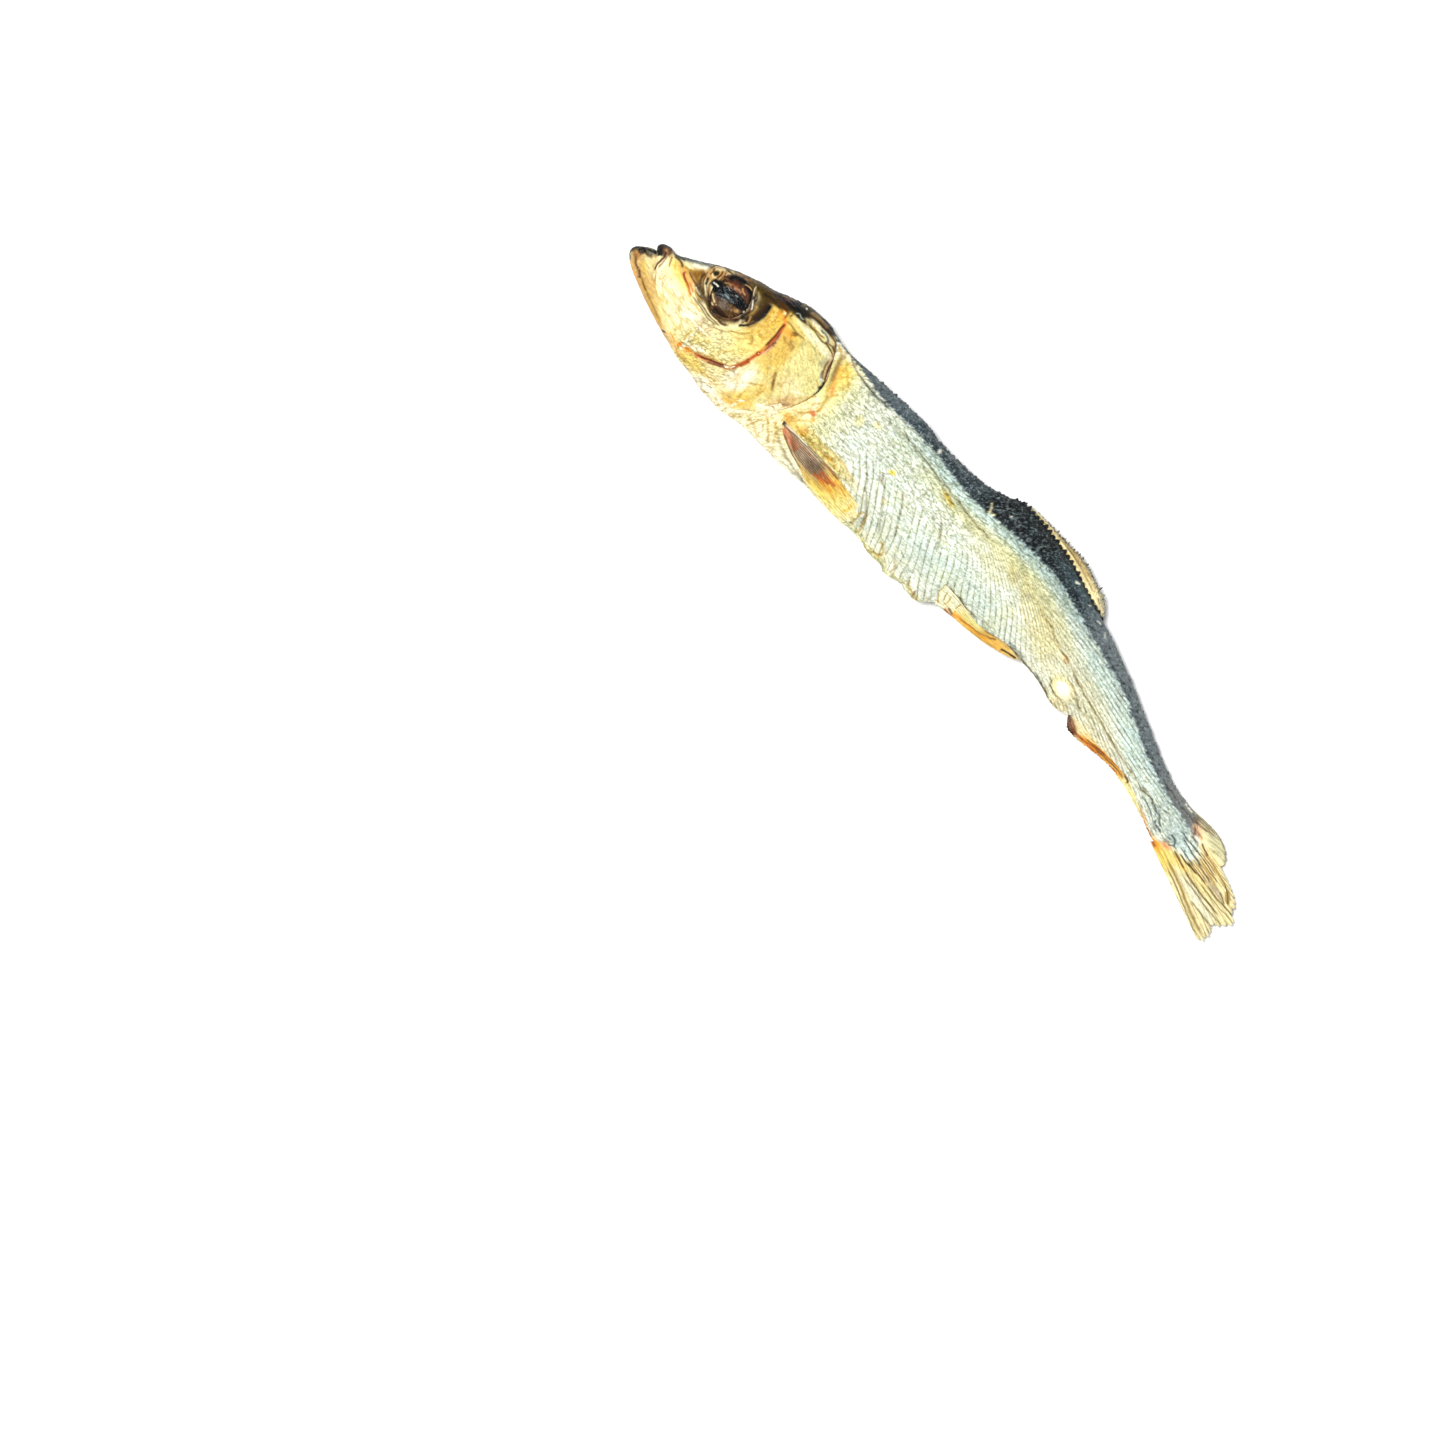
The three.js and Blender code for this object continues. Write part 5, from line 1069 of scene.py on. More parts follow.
def head_surface(colours, gill_step):
    """Rings from the lip to the gill covers' free edge: x is the share f of the way from the lip to the edge at
    share t of the depth, and the thickness is the oval's, less the socket. The last rings turn in by more than
    gill_step, over the trunk."""
    rings, top, under = 372, 166, 80
    f = (np.arange(1, rings + 1) / rings)[:, None] ** 1.4
    side, t = section(top, under)
    x = LIP + (gill_edge(t) - LIP) * f
    low, high = belly_line(x), back_line(x)
    y = low + (high - low) * t
    inner = np.clip(np.minimum(t, 1 - t) * 4, 0, 1)
    worn = 0.30 * smooth_step(f, 0.8, 0.2) * smooth_step(t, 0.62, -0.2) * inner
    thinning = HEAD_THINNING + (KEEL_THINNING - HEAD_THINNING) * smooth_step(f, 0.5, 0.5)
    blunt = np.sqrt(np.clip((x - LIP + 0.1) / LIP_ROUNDING, 0.03, 1))
    thick = np.maximum(half_thickness(x) * blunt * fullness(t, thinning) - socket(x, y) * inner - worn, 0)
    points = np.stack([x, y, midplane(x) + side * thick], axis=-1)
    coat = head_coat(points, t, colours)
    skin = raised(points, coat.relief)
    rim = [skin[-1] + (np.array(COVER_CORE) - skin[-1]) * share - np.array([back, 0, 0])
           for share, back in ((0.02, -0.05), (0.07, 0.05), ((gill_step + 0.5) / HEAD_HALF_THICKNESS, 0.8))]
    coat.carry_on(len(rim))
    return np.concatenate([skin, rim]), coat


def jaw_surface(colours):
    """The lower jaw's rings between its two outlines: x goes from the tip as the ring's share to the power 1.7."""
    rings, top, under = 180, 64, 40
    x = NOSE + (JAW_END - NOSE) * (np.arange(1, rings + 1) / rings)[:, None] ** 1.7
    side, t = section(top, under)
    low, high = jaw_bottom(x), jaw_top(x)
    y = low + (high - low) * t
    points = np.stack([x + 0 * t, y, midplane(x) + side * jaw_half_thickness(x) * fullness(t, 0)], axis=-1)
    coat = Coat(points, colours, "cream", 300, wobble=0.6)
    x, y = points[..., 0], points[..., 1]
    coat.lay(smooth_step(coat.clouds(5, x / 3, y / 2) + 0.4), gold=0.3, ochre=0.25)
    coat.marks(JAW_MARKS)
    coat.wrinkles(x + y * 0.4, y + x * 0.3, 3.0, 0.45, 0.7, relief=-0.04, tan=0.4)
    coat.relief += 0.05 * coat.clouds(9, x / 1.5, y / 0.8)
    dark = coat.dark()
    coat.masks = dict(
        grain=0.2 + 0.5 * dark, flecks_and_glints=0.4 * dark, threads=0.5 * (1 - dark), sheen=0 * dark, rough=0.42 - 0.1 * dark
    )
    return raised(points, coat.relief), coat


def trunk_coat(points, colours, rib_spacing, rib_relief):
    """Pigments and relief of the trunk. Ribs are grooves where a phase is whole: x plus the lean times the
    height over y = 7, plus a quadratic above the side line, over the spacing. Threads are fine wavy wrinkles
    alongside the flow line. Above the back's lower edge lies the dark, grained band."""
    coat = Coat(points, colours, "silver", 500)
    x, y = points[..., 0], points[..., 1]
    under_back = back_band(x) - y
    level = y - flow_line(x)
    rear = smooth_step(x, 100, 20)
    belly = smooth_step(y, 2.5, -3) * smooth_step(x, 66, -10)
    coat.lay(smooth_step(coat.clouds(5, x / 6, y / 4) * 1.5 + 0.2) * smooth_step(under_back / 3), straw=0.3)
    coat.lay(smooth_step(coat.clouds(9, x / 5, y / 4) * 1.6), sky=0.3)
    coat.lay(bump(under_back, 1.2, 1.7) * smooth_step(x, 62, 12), sky=0.8)
    coat.lay(bump(under_back, 1.2, 1.8) * smooth_step(x, 84, 12), sky=0.8, ash=0.15, slate=0.07)
    coat.lay(bump(under_back, 3, 1.8) * smooth_step(x, 112, 12), sky=0.88, ash=0.03)
    coat.lay(bump(under_back, 2.5, 3) * smooth_step(x, 58, 6) * smooth_step(x, 90, -8), sky=0.42)
    coat.lay(bump(under_back, 4, 1.6) * smooth_step(x, 66, 12) * (1 - rear), straw=0.5, ash=0.04)
    gilded = bump(under_back, 6, 2.4) * smooth_step(x, 90, 14) * smooth_step(x, 140, -14)
    coat.lay(gilded, straw=0.28, ash=0.2, olive=0.02)
    coat.lay(bump(y, 7, 4) * bump(x, 84, 12), sky=0.5)
    coat.lay(bump(y, 11, 4) * bump(x, 66, 9), sky=0.25)
    coat.lay(bump(x, 62, 16), ash=0.06)
    coat.lay(bump(y, 9, 3) * bump(x, 100, 8), sky=0.35)
    coat.lay(smooth_step((belly_line(x) + 1.6 - y) / 1.6) * smooth_step(x, 94, -8), straw=0.5)
    coat.lay(belly, cream=0.9, white=0.6)
    coat.lay(smooth_step(coat.clouds(53, x / 3, y / 2) * 1.5 + 0.3) * belly, gold=0.2)
    coat.marks(TRUNK_MARKS)
    blister = 1 - smooth_step(np.hypot((x - BLISTER[0]) / 3, (y - BLISTER[1]) / 2) * 1.5 - 0.6)
    phase = x + rib_lean(x) * (y - 7) + 0.22 * np.maximum(y - 11.5, 0) ** 2 + 0.7 * coat.noise(13, x / 6, y / 6)
    ribbed = (smooth_step(x, 57, 8) * smooth_step(under_back, 2.5, 3) * (1 - blister)
              * smooth_step((y - belly_line(x)) / 1.5) * smooth_step(x, 156, -10))
    front_top = 1 - smooth_step(x, 92, -8) * smooth_step(y, 8.5, 4)
    worn = np.clip(0.75 + 0.9 * coat.clouds(17, x / 4, y / 3), 0.2, 1.1)
    ribs = ribbed * front_top * worn * (1 - 0.5 * smooth_step(x, 108, 10))
    coat.lay(bump(np.sin(math.pi * phase / rib_spacing) / 0.4) * ribs, relief=-rib_relief, olive=0.16)
    flat = smooth_step(under_back / 0.5)
    collar = smooth_step(x, 51.5, -4) * flat
    plain = flat * (1 - 0.45 * ribs) * (1 - 0.8 * belly) * (1 - blister) * (1 - 0.8 * collar)
    coat.wrinkles(x, level, 1.8, 0.6, plain, width=0.13, salt=2, relief=-0.06, olive=0.16)
    coat.wrinkles(x, level + 0.1 * x, 1.2, 0.6, plain * 0.8, width=0.12, salt=3, relief=-0.04, slate=0.12)
    sweep = np.where(level > -0.4, level / 0.8, (level + 0.22 * (x - 120)) / 0.7) + 0.5 * coat.noise(14, x / 6, y / 3)
    streaks = rear * plain * np.clip(0.75 + 1.1 * coat.noise(15, x / 4, sweep), 0, 1)
    streaks = streaks * (1 - 0.35 * smooth_step(x, 144, 6))
    coat.lay(bump(np.sin(math.pi * sweep) / 0.3) * streaks, relief=-0.07, olive=0.58)
    coat.lay(bump(np.cos(math.pi * sweep) / 0.6) * streaks, white=0.5)
    coat.lay(smooth_step(coat.clouds(21, x / 0.8, level / 0.5) * 1.8 - 0.1) * plain, relief=0.04, white=0.5)
    coat.wrinkles(y + 0.7 * x, x - 0.5 * y, 2.6, 0.8, collar, width=0.1, salt=5, relief=-0.06, ochre=0.55, olive=0.1)
    under = belly * smooth_step(x, 64, -6)
    coat.wrinkles(x + y, y - 0.7 * x, 2.2, 0.7, under, width=0.09, salt=6, relief=-0.05, olive=0.28)
    coat.lay(smooth_step(coat.clouds(22, (x + y) / 1.5, (y - 0.7 * x) / 0.8) * 1.8) * under, relief=0.04, white=0.5)
    folds = bump(np.sin(math.pi * (x + 0.5 * y) / 2.3) / 0.4) * smooth_step((2.2 - y + belly_line(x)) / 2)
    coat.lay(folds * smooth_step(x, 68, 3) * smooth_step(x, 94, -3), relief=-0.14, straw=0.4, olive=0.1)
    shreds = coat.clouds(25, (x + 0.9 * y) / 1.6, (y - 0.5 * x) / 0.6)
    band = smooth_step((0.5 - under_back + 0.6 * shreds + 0.5 * coat.noise(27, x / 0.45, y / 0.35)) / 0.9)
    band = band * (1 - 0.9 * smooth_step(x, 159, 4))
    middle = smooth_step(x, 80, 6) * smooth_step(x, 118, -8)
    coat.lay(bump(under_back, 0.5, 0.6) * smooth_step(shreds * 2 - 0.1) * smooth_step(x, 60, 10), slate=0.5)
    coat.lay(band, slate=0.97)
    coat.lay(band * smooth_step(x, 70, -20), ash=0.5)
    coat.lay(band * smooth_step(x, 108, 14), ash=0.68)
    coat.lay(band * smooth_step(x, 60, 8) * smooth_step(x, 86, -6), black=0.4)
    coat.lay(band * middle * smooth_step(x, 108, -10), black=0.95)
    coat.lay(band * middle * bump((under_back + 0.9) / 0.8), black=0.6)
    coat.lay(band * bump(under_back, 0, 0.8), black=0.4)
    coat.lay(band * bump((back_line(x) - y) / 0.3) * smooth_step(x, 120, -20), black=0.4)
    grains = coat.clouds(29, (x + 0.8 * y) / 1.2, (y - 0.8 * x) / 0.6)
    coat.lay(band * smooth_step(grains * 2.6 - 0.3), relief=0.08, ash=0.5 - 0.45 * middle)
    coat.lay(band * smooth_step(-grains * 2.6 - 0.3), relief=-0.08, black=0.6)
    # painted highlight streaks, ash and sky, slanting across the dark band
    highlight_streaks = band * (0.5 - 0.2 * middle)
    coat.wrinkles(x + 0.8 * y, y - 0.8 * x, 1.4, 0.5, highlight_streaks, width=0.1, salt=9, relief=0.05, ash=0.6)
    coat.wrinkles(x + 0.8 * y, y - 0.8 * x, 0.8, 0.4, highlight_streaks, width=0.05, salt=11, relief=0.05, sky=0.55)
    coat.wrinkles(x + 0.4 * y, y - 1.2 * x, 2.4, 1.6, 0.5 * band * middle, width=0.04, salt=12, relief=0.06, sky=0.7)
    coat.lay(band * smooth_step(x, 146, 8), ash=0.5, tan=0.08)
    root = smooth_step(x, 148, 6) * flat
    coat.wrinkles(x, level, 2.6, 0.6, root, width=0.11, salt=10, relief=-0.06, slate=0.27)
    coat.marks(BACK_MARKS + ROOT_MARKS)
    coat.relief += 0.09 * coat.clouds(37, x / 4, y / 2.4) + 0.03 * coat.clouds(41, x / 0.9, y / 0.5)
    coat.relief += 0.07 * band * coat.clouds(45, x / 0.6, y / 0.5)
    coat.places["thread_place"] = np.stack([x, level, points[..., 2]], axis=-1)
    coat.places["rib_place"] = np.stack([y - 0.3 * x, phase / rib_spacing, points[..., 2]], axis=-1)
    coat.masks = dict(
        grain=0.25 + 0.45 * plain,
        flecks_and_glints=band * (1 - 0.5 * middle),
        threads=plain * (1 - 0.4 * rear) + 0.15 * (belly + collar) * flat,
        ribs=ribs,
        sheen=(1 - band) * (1 - collar) * 0.8,
        rough=0.38 + 0.14 * band + 0.05 * coat.clouds(49, x / 2, y / 2),
    )
    return coat


def trunk_surface(colours, gill_step, rib_spacing, rib_relief):
    """Rings from under the gill covers to the tail's root, which ends in ragged points: x is the share of the
    way to an end that swings with the share t of the depth. Before the gill covers' edge the trunk is drawn in
    by gill_step."""
    rings, top, under = 556, 124, 52
    side, t = section(top, under)
    ragged = 1.1 * np.abs(np.sin(5 * math.pi * t + 0.4)) + 0.7 * (0.5 + noise(7, t * 9, side))
    end = TRUNK_END - ragged * np.clip(np.minimum(t, 1 - t) * 5, 0, 1)
    x = TRUNK_START + (end - TRUNK_START) * np.linspace(0, 1, rings)[:, None]
    inset = 0.25 * (1 - smooth_step((x - HEAD_END + 4) / 4))
    low, high = belly_line(x) + inset, back_line(x) - inset
    fuzz = 0.34 * noise(8, x / 0.6, side * 0) + 0.2 * noise(9, x / 1.5, side * 0)
    high = high + fuzz * smooth_step(x, 48, 4)
    curl = 0.22 * noise(10, x / 2.0, side * 0) * smooth_step(x, 66, 4) * smooth_step(x, 96, -4)
    low = low + curl + 0.08 * noise(11, x / 0.9, side * 0)
    y = low + (high - low) * t
    tuck = gill_step * (1 - smooth_step((x - HEAD_END + 1) / 6)) * (0.3 + 0.7 * smooth_step(t, 0.15, 0.3))
    thick = (half_thickness(x) - tuck) * fullness(t, KEEL_THINNING)
    points = np.stack([x, y, midplane(x) + side * thick], axis=-1)
    coat = trunk_coat(points, colours, rib_spacing, rib_relief)
    return raised(points, coat.relief * smooth_step((x - TRUNK_START) / 4)), coat


def eye_surface(side, colours, dome):
    """A flattened ball, its rings at polar angles p: radius times sin p out from its axis, dome times cos p
    along it, then slanted with the flank and set into the socket."""
    rings, around = 96, 150
    p = math.pi * np.linspace(0, 1, rings + 2)[1:-1, None] ** 1.15
    a = np.linspace(0, 2 * math.pi, around, endpoint=False)[None, :]
    across = EYE_RADIUS * np.sin(p) * np.cos(a)
    up = EYE_RADIUS * np.sin(p) * np.sin(a)
    out = dome * np.cos(p) + 0 * a
    flat = np.stack([EYE_CENTRE[0] + across, EYE_CENTRE[1] + up, side * out + EYE_LEVEL], axis=-1)
    coat = Coat(flat, colours, "brown", 700, wobble=0.4)
    x, y = flat[..., 0], flat[..., 1]
    coat.lay(smooth_step(coat.noise(31, x / 0.9, y / 0.7) * 2 + 0.4), black=0.5)
    coat.wrinkles(x, y, 0.9, 0.45, 0.8, relief=-0.04, black=0.6)
    coat.wrinkles(x, y, 0.7, 0.4, 0.5, salt=1, relief=0.03, tan=0.7)
    coat.marks(EYE_MARKS)
    coat.relief += 0.05 * coat.clouds(5, x / 1.4, y / 1.0)
    wet = 1 + 0 * x
    coat.masks = dict(grain=0.3 * wet, flecks_and_glints=0 * wet, threads=0 * wet, sheen=0 * wet, rough=0.26 * wet)
    domed = np.stack([across, up, side * (out + coat.relief * smooth_step(np.cos(p) * 3))], axis=-1)
    (cy, cx), (sy, sx) = np.cos(EYE_SLANT), -side * np.sin(EYE_SLANT)
    turned = domed @ np.array([[cy, 0, sy], [0, 1, 0], [-sy, 0, cy]]).T
    turned = turned @ np.array([[1, 0, 0], [0, cx, -sx], [0, sx, cx]]).T
    eye_x, eye_y = EYE_CENTRE
    depth_share = (eye_y - belly_line(eye_x)) / (back_line(eye_x) - belly_line(eye_x))
    floor_height = half_thickness(eye_x) * fullness(depth_share, HEAD_THINNING) - SOCKET_DEPTH
    height = midplane(eye_x) + side * (floor_height - EYE_SINK)
    return turned + np.array([eye_x, eye_y, float(height)]), coat


# ---- Fins ----

FIN_MARKS = {
    "pectoral_fin": (
        spot((67.8, 0), (3, 4), 0, 0.7, cream=0.9, straw=0.2),
        spot((63.4, 0), (4, 2.8), 0, 0.7, gold=0.55, straw=0.5),
        spot((60.2, 0.4), (4, 2), 8, 0.7, gold=0.5, amber=0.45),
        spot((57.6, -1.8), (5, 0.8), -2, 0.6, gold=0.8),
        spot((54.2, 0.2), (5.4, 1.9), -3, 0.65, plum=0.32, blush=0.28, ash=0.22),
        spot((57, 0.6), (2.6, 1.3), 4, 0.6, slate=0.3, plum=0.3),
        line(((46.6, 0.9), (49, 0.5), (52, 0)), 0.8, taper=0.05, blush=0.75, rust=0.4),
        spot((52.6, 1.3), (3, 0.35), 2, 0.6, blush=0.5),
        *(line(((47.4 + 3 * f, 1.35 - 1.6 * f), (53, 1.6 - 2.5 * f), (59 - f, 1.8 - 2.6 * f)), 0.03, black=0.72,
               relief=-0.05) for f in (0, 0.14, 0.28, 0.42, 0.56, 0.7, 0.84, 0.98)),
        line(((58, 1), (60, 1.1), (62.6, 1.2)), 0.26, rust=0.8, plum=0.3),
        line(((58, 0.3), (59.6, 0.4), (61.4, 0.7)), 0.2, rust=0.8, brown=0.3),
        line(((57.4, -0.6), (59, -0.2), (60.6, 0)), 0.26, rust=0.7),
        line(((59, -0.6), (61, -0.2), (63, 0.2)), 0.3, amber=0.8),
        line(((61, 1.8), (63, 1.9), (65.6, 1.5)), 0.2, amber=0.8),
        line(((60, 2.4), (63, 2.5), (66.4, 2.2)), 0.13, ochre=0.9),
        line(((61, -0.4), (64, -0.6), (66, -1.6)), 0.13, ochre=0.6),
        line(((49, -0.6), (51, -1.3), (53.6, -1.9)), 0.3, cream=0.6, ash=0.3),
        line(((47.4, 0.1), (49, -0.3), (51, -1), (53, -1.5), (55.4, -1.7)), 0.15, brown=0.7),
        line(((49, 2.2), (53, 2.45), (58, 2.75), (61, 2.8)), 0.1, brown=0.7),
        line(((45.8, 1.2), (48, 1.5), (51, 1.9), (54, 2.15), (57.8, 2.35)), 0.08, taper=0.05, black=0.6),
        line(((57, 2.4), (59.5, 2.5), (61.8, 2.6)), 0.2, brown=0.6, rust=0.3),
        line(((46, 1.6), (49, 1.95), (53, 2.3)), 0.09, white=0.9),
        line(((45.3, 1.9), (45.6, 1.5), (46.2, 1.6)), 0.4, taper=0, brown=0.9, black=0.5),
        line(((58, -2.6), (62, -2.6), (66, -2.6), (69.6, -2)), 0.22, cream=0.8),
        line(((67, 2), (67.5, 0.4), (67, -1)), 0.24, gold=0.7, amber=0.3),
    ),
    "pelvic_fin": (
        spot((94, 3.7), (3.4, 3), 0, 0.4, silver=0.8, straw=0.25),
        spot((104.6, 4.8), (7.4, 1.5), 14, 0.5, gold=0.5, amber=0.55),
        spot((100.6, 4.8), (3, 0.8), 6, 0.6, straw=0.9),
        line(((96.6, 2.9), (98, 3.4), (100.6, 3.8), (103.4, 4.3), (106, 5)), 0.3, amber=0.9),
        line(((98, 3.6), (101, 3.9), (103.4, 4.7), (106.6, 6)), 0.12, -0.1, ochre=0.7, brown=0.3),
        line(((101, 3.3), (104, 4), (107, 4.9)), 0.12, -0.08, ochre=0.9),
        line(((95, 2.3), (96.4, 2.3), (98, 2.6)), 0.3, rust=0.7, brown=0.3),
        line(((95.8, 3), (96.8, 2.9)), 0.16, taper=0, brown=0.8),
        line(((93, 4.9), (93.4, 3.9), (93.8, 3.1)), 0.1, -0.12, olive=0.4, ochre=0.3),
        line(((92, 3.4), (92.8, 2.5), (93.6, 2.1)), 0.13, -0.1, ochre=0.8),
        line(((94.2, 4.8), (94.6, 3.6), (94.4, 2.6)), 0.13, -0.1, ochre=0.7),
        line(((96.7, 5.5), (96.5, 4.6), (96.6, 4)), 0.1, -0.1, olive=0.35, ochre=0.4),
        line(((96.8, 3.9), (97.2, 3.3), (97.4, 2.8)), 0.16, amber=0.9),
        line(((104, 6.1), (106, 6.7), (108, 7.1), (110, 7.3)), 0.24, tan=0.8),
        line(((103.6, 5.9), (105, 6.3), (106.4, 7)), 0.2, brown=0.8),
        line(((105.8, 5.8), (106.4, 6.2)), 0.18, taper=0, ochre=0.9, brown=0.4),
        # painted shade under the belly's edge
        line(((108.5, 5.8), (109.6, 6.3), (110.8, 6.7), (112, 7)), 0.15, -0.1, taper=0.1, black=1),
    ),
    "dorsal_fin": (
        line(((92, 28.7), (98, 29.2), (104, 29.1), (110, 28), (113, 27)), 0.55, tan=0.6, straw=0.3),
        line(((93, 28.9), (98, 29.1), (104, 29), (108, 28.5)), 0.12, brown=0.6),
        line(((96, 29.3), (101, 29.5), (106, 29.2), (110, 28.5)), 0.1, ochre=0.9),
        line(((101, 28.5), (106, 28.2), (110, 27.4)), 0.1, ochre=0.9),
        line(((100, 28.8), (105, 28.6), (110, 27.8), (114, 26.4)), 0.13, cream=0.8),
        line(((95, 29), (99, 29.3), (103, 29.4)), 0.12, cream=0.6),
        line(DORSAL_EDGE, 0.6, taper=0, ash=0.8, olive=0.35),
        line(((92, 28.5), (97, 29), (102, 29), (107, 28.4), (112, 27.2)), 0.12, olive=0.55),
        line(((87, 27), (89, 27.8), (91, 28.4)), 0.7, taper=0.1, black=0.8, slate=0.3),
        spot((115, 27), (2, 1.2), -40, 0.6, cream=0.5, ash=0.3),
        line(((109.4, 27.6), (110, 28.2), (110.4, 28.9)), 0.1, cream=0.7),
        line(((113, 27.4), (114.4, 26.6), (115.8, 26)), 0.12, olive=0.7),
        line(((113, 26.4), (115, 25.8), (116.4, 25.4)), 0.1, olive=0.6),
    ),
    "anal_fin": (
        spot((147.4, 7.4), (4.6, 1.4), -12, 0.5, straw=0.9, cream=0.4),
        line(((132, 6.6), (136, 7.4), (141, 8.1), (144.6, 8.2)), 1, amber=0.9, gold=0.25, ochre=0.1),
        line(((131, 6.5), (134, 6.9), (138, 7.5)), 0.4, rust=0.5, amber=0.5),
        line(((129, 6.8), (131, 6.6), (133, 6.7), (135.4, 7.5), (138, 8.1), (141, 8.6), (143.4, 8.8), (145, 8.4)), 0.15,
             -0.1, brown=0.5, rust=0.35),
        line(((133, 7.3), (136, 7.9), (138.6, 8.2)), 0.14, -0.1, brown=0.5, rust=0.3),
        line(((134, 6.6), (137, 7), (140, 7.4), (143, 7.6)), 0.13, -0.1, rust=0.8),
        line(((136, 7.4), (139, 7.9), (142, 8.1), (144.6, 8)), 0.13, -0.1, brown=0.7),
        spot((129.6, 6.9), (2, 0.7), -24, brown=0.7, rust=0.25),
        line(((129, 7.8), (131.6, 7.5), (134, 7.8)), 0.16, cream=0.9),
        line(((127.2, 8.2), (128, 7), (129.4, 6.1), (131.4, 6)), 0.42, brown=1, rust=0.15),
        line(((128.6, 6.2), (130, 5.8), (131, 6)), 0.26, black=0.8),
        line(((127.4, 8), (128.2, 7.6), (128.8, 7)), 0.13, black=0.7),
        line(((143.8, 8.7), (145, 8.5), (145.6, 7.9)), 0.2, brown=0.95),
    ),
    "tail": (
        spot((161.6, 3.8), (3, 1.1), -16, 0.7, gold=0.75),
        spot((164.6, 5), (4, 0.6), -6, 0.7, gold=0.5),
        spot((168.6, 9), (4.6, 2), -4, 0.6, gold=0.06, ochre=0.08, sky=0.1),
        spot((168, 6.4), (4.6, 1), -4, 0.7, gold=0.25),
        spot((166.6, 13.6), (4, 1.3), -6, 0.6, straw=0.3, sky=0.15, ash=0.22),
        spot((156.8, 13.9), (4, 0.9), 4, 0.5, slate=0.4, ash=0.7),
        spot((163, 14.8), (3.4, 0.6), 2, 0.7, ash=0.3),
        *(line(((159, y), (162, y + 0.3), (165, y + 0.5)), 0.06, brown=0.55) for y in (13.7, 14.1, 14.5)),
        spot((172, 3.8), (7, 1), -8, 0.5, white=0.6, sky=0.12),
        line(((162, 6.3), (165, 5.8), (169, 5.3), (173, 5), (178, 5.05)), 0.16, -0.1, olive=0.8),
        line(((162, 4.4), (165, 3.8), (168, 3), (171, 1.9), (174, 0.9), (177, 0.2), (179, -0.3)), 0.3, -0.1, olive=0.5,
             ochre=0.3),
        line(((163.6, 3.2), (167, 2.4), (170, 1.4), (173, 0.5), (176, -0.5), (178.6, -1)), 0.13, -0.08, olive=0.6),
        line(((167, 4.6), (171, 4.4), (175, 4.1), (179, 4.2)), 0.13, olive=0.6),
        line(((171.6, 2.7), (175, 2.5), (178, 2.3)), 0.15, olive=0.6),
        line(((166, 10.9), (168, 10.8), (171, 10.4), (174.4, 9.8)), 0.2, ochre=0.6, brown=0.4),
        line(((166.6, 10), (169, 9.7), (172.4, 9)), 0.1, brown=0.6),
        line(((167, 9.3), (170, 8.9), (173, 8.4)), 0.1, ochre=0.9),
        line(((166.6, 8.6), (169, 8.3), (171.6, 7.9)), 0.11, brown=0.7),
        line(((165, 7.05), (168, 7.05), (171, 7.2)), 0.13, brown=0.8),
        line(((171, 7.4), (174, 6.9), (177, 7.1), (180, 7)), 0.13, olive=0.7),
        line(((170, 6.4), (174, 6.1), (180, 6.2)), 0.1, olive=0.6),
        spot((173.4, 7.8), (2.4, 0.5), -4, 0.6, ash=0.4, blush=0.2),
        spot((175.9, 8.8), (1.5, 0.5), -36, 0.3, olive=0.45, ochre=0.4),
        line(((173.6, 9.9), (175.6, 9), (177.4, 7.7)), 0.1, olive=0.8),
        line(((174.2, 8.2), (175.4, 7.8), (176.8, 7.4)), 0.1, olive=0.7),
        line(((160, 15.1), (165, 15.4), (168.6, 14.5), (170.5, 12.9)), 0.2, ash=0.6, olive=0.4),
    ),
}


def fin_coat(points, rays, along, marks, base, colours, seed, ray_relief):
    """Pigments and relief of a fin: ridges where the ray phase is between whole numbers, with fine lines along
    them, and the fin's marks."""
    coat = Coat(points, colours, base, seed, wobble=0.5)
    coat.lay(smooth_step(coat.clouds(5, points[..., 0] / 2.5, points[..., 1] / 1.5) + 0.3), straw=0.4)
    coat.marks(marks)
    groove = bump(np.sin(math.pi * rays) / 0.3) * np.clip(0.7 + 0.6 * coat.noise(9, along / 4, rays), 0.2, 1)
    coat.lay(groove, relief=-ray_relief, ochre=0.2, olive=0.4)
    coat.lay(bump(np.cos(2 * math.pi * rays) / 0.35), relief=-0.03, olive=0.14)
    coat.wrinkles(along, rays, 3.5, 0.4, 0.8, width=0.12, relief=-0.03, olive=0.3)
    coat.lay(smooth_step(coat.clouds(13, along / 1.4, rays * 1.6) * 1.6 - 0.3), relief=0.02, white=0.28)
    dark = coat.dark()
    coat.masks = dict(
        grain=0.15 + 0.3 * dark, flecks_and_glints=0.1 * dark, threads=0.25 * (1 - dark), sheen=0 * dark, rough=0.42 - 0.12 * dark
    )
    return coat


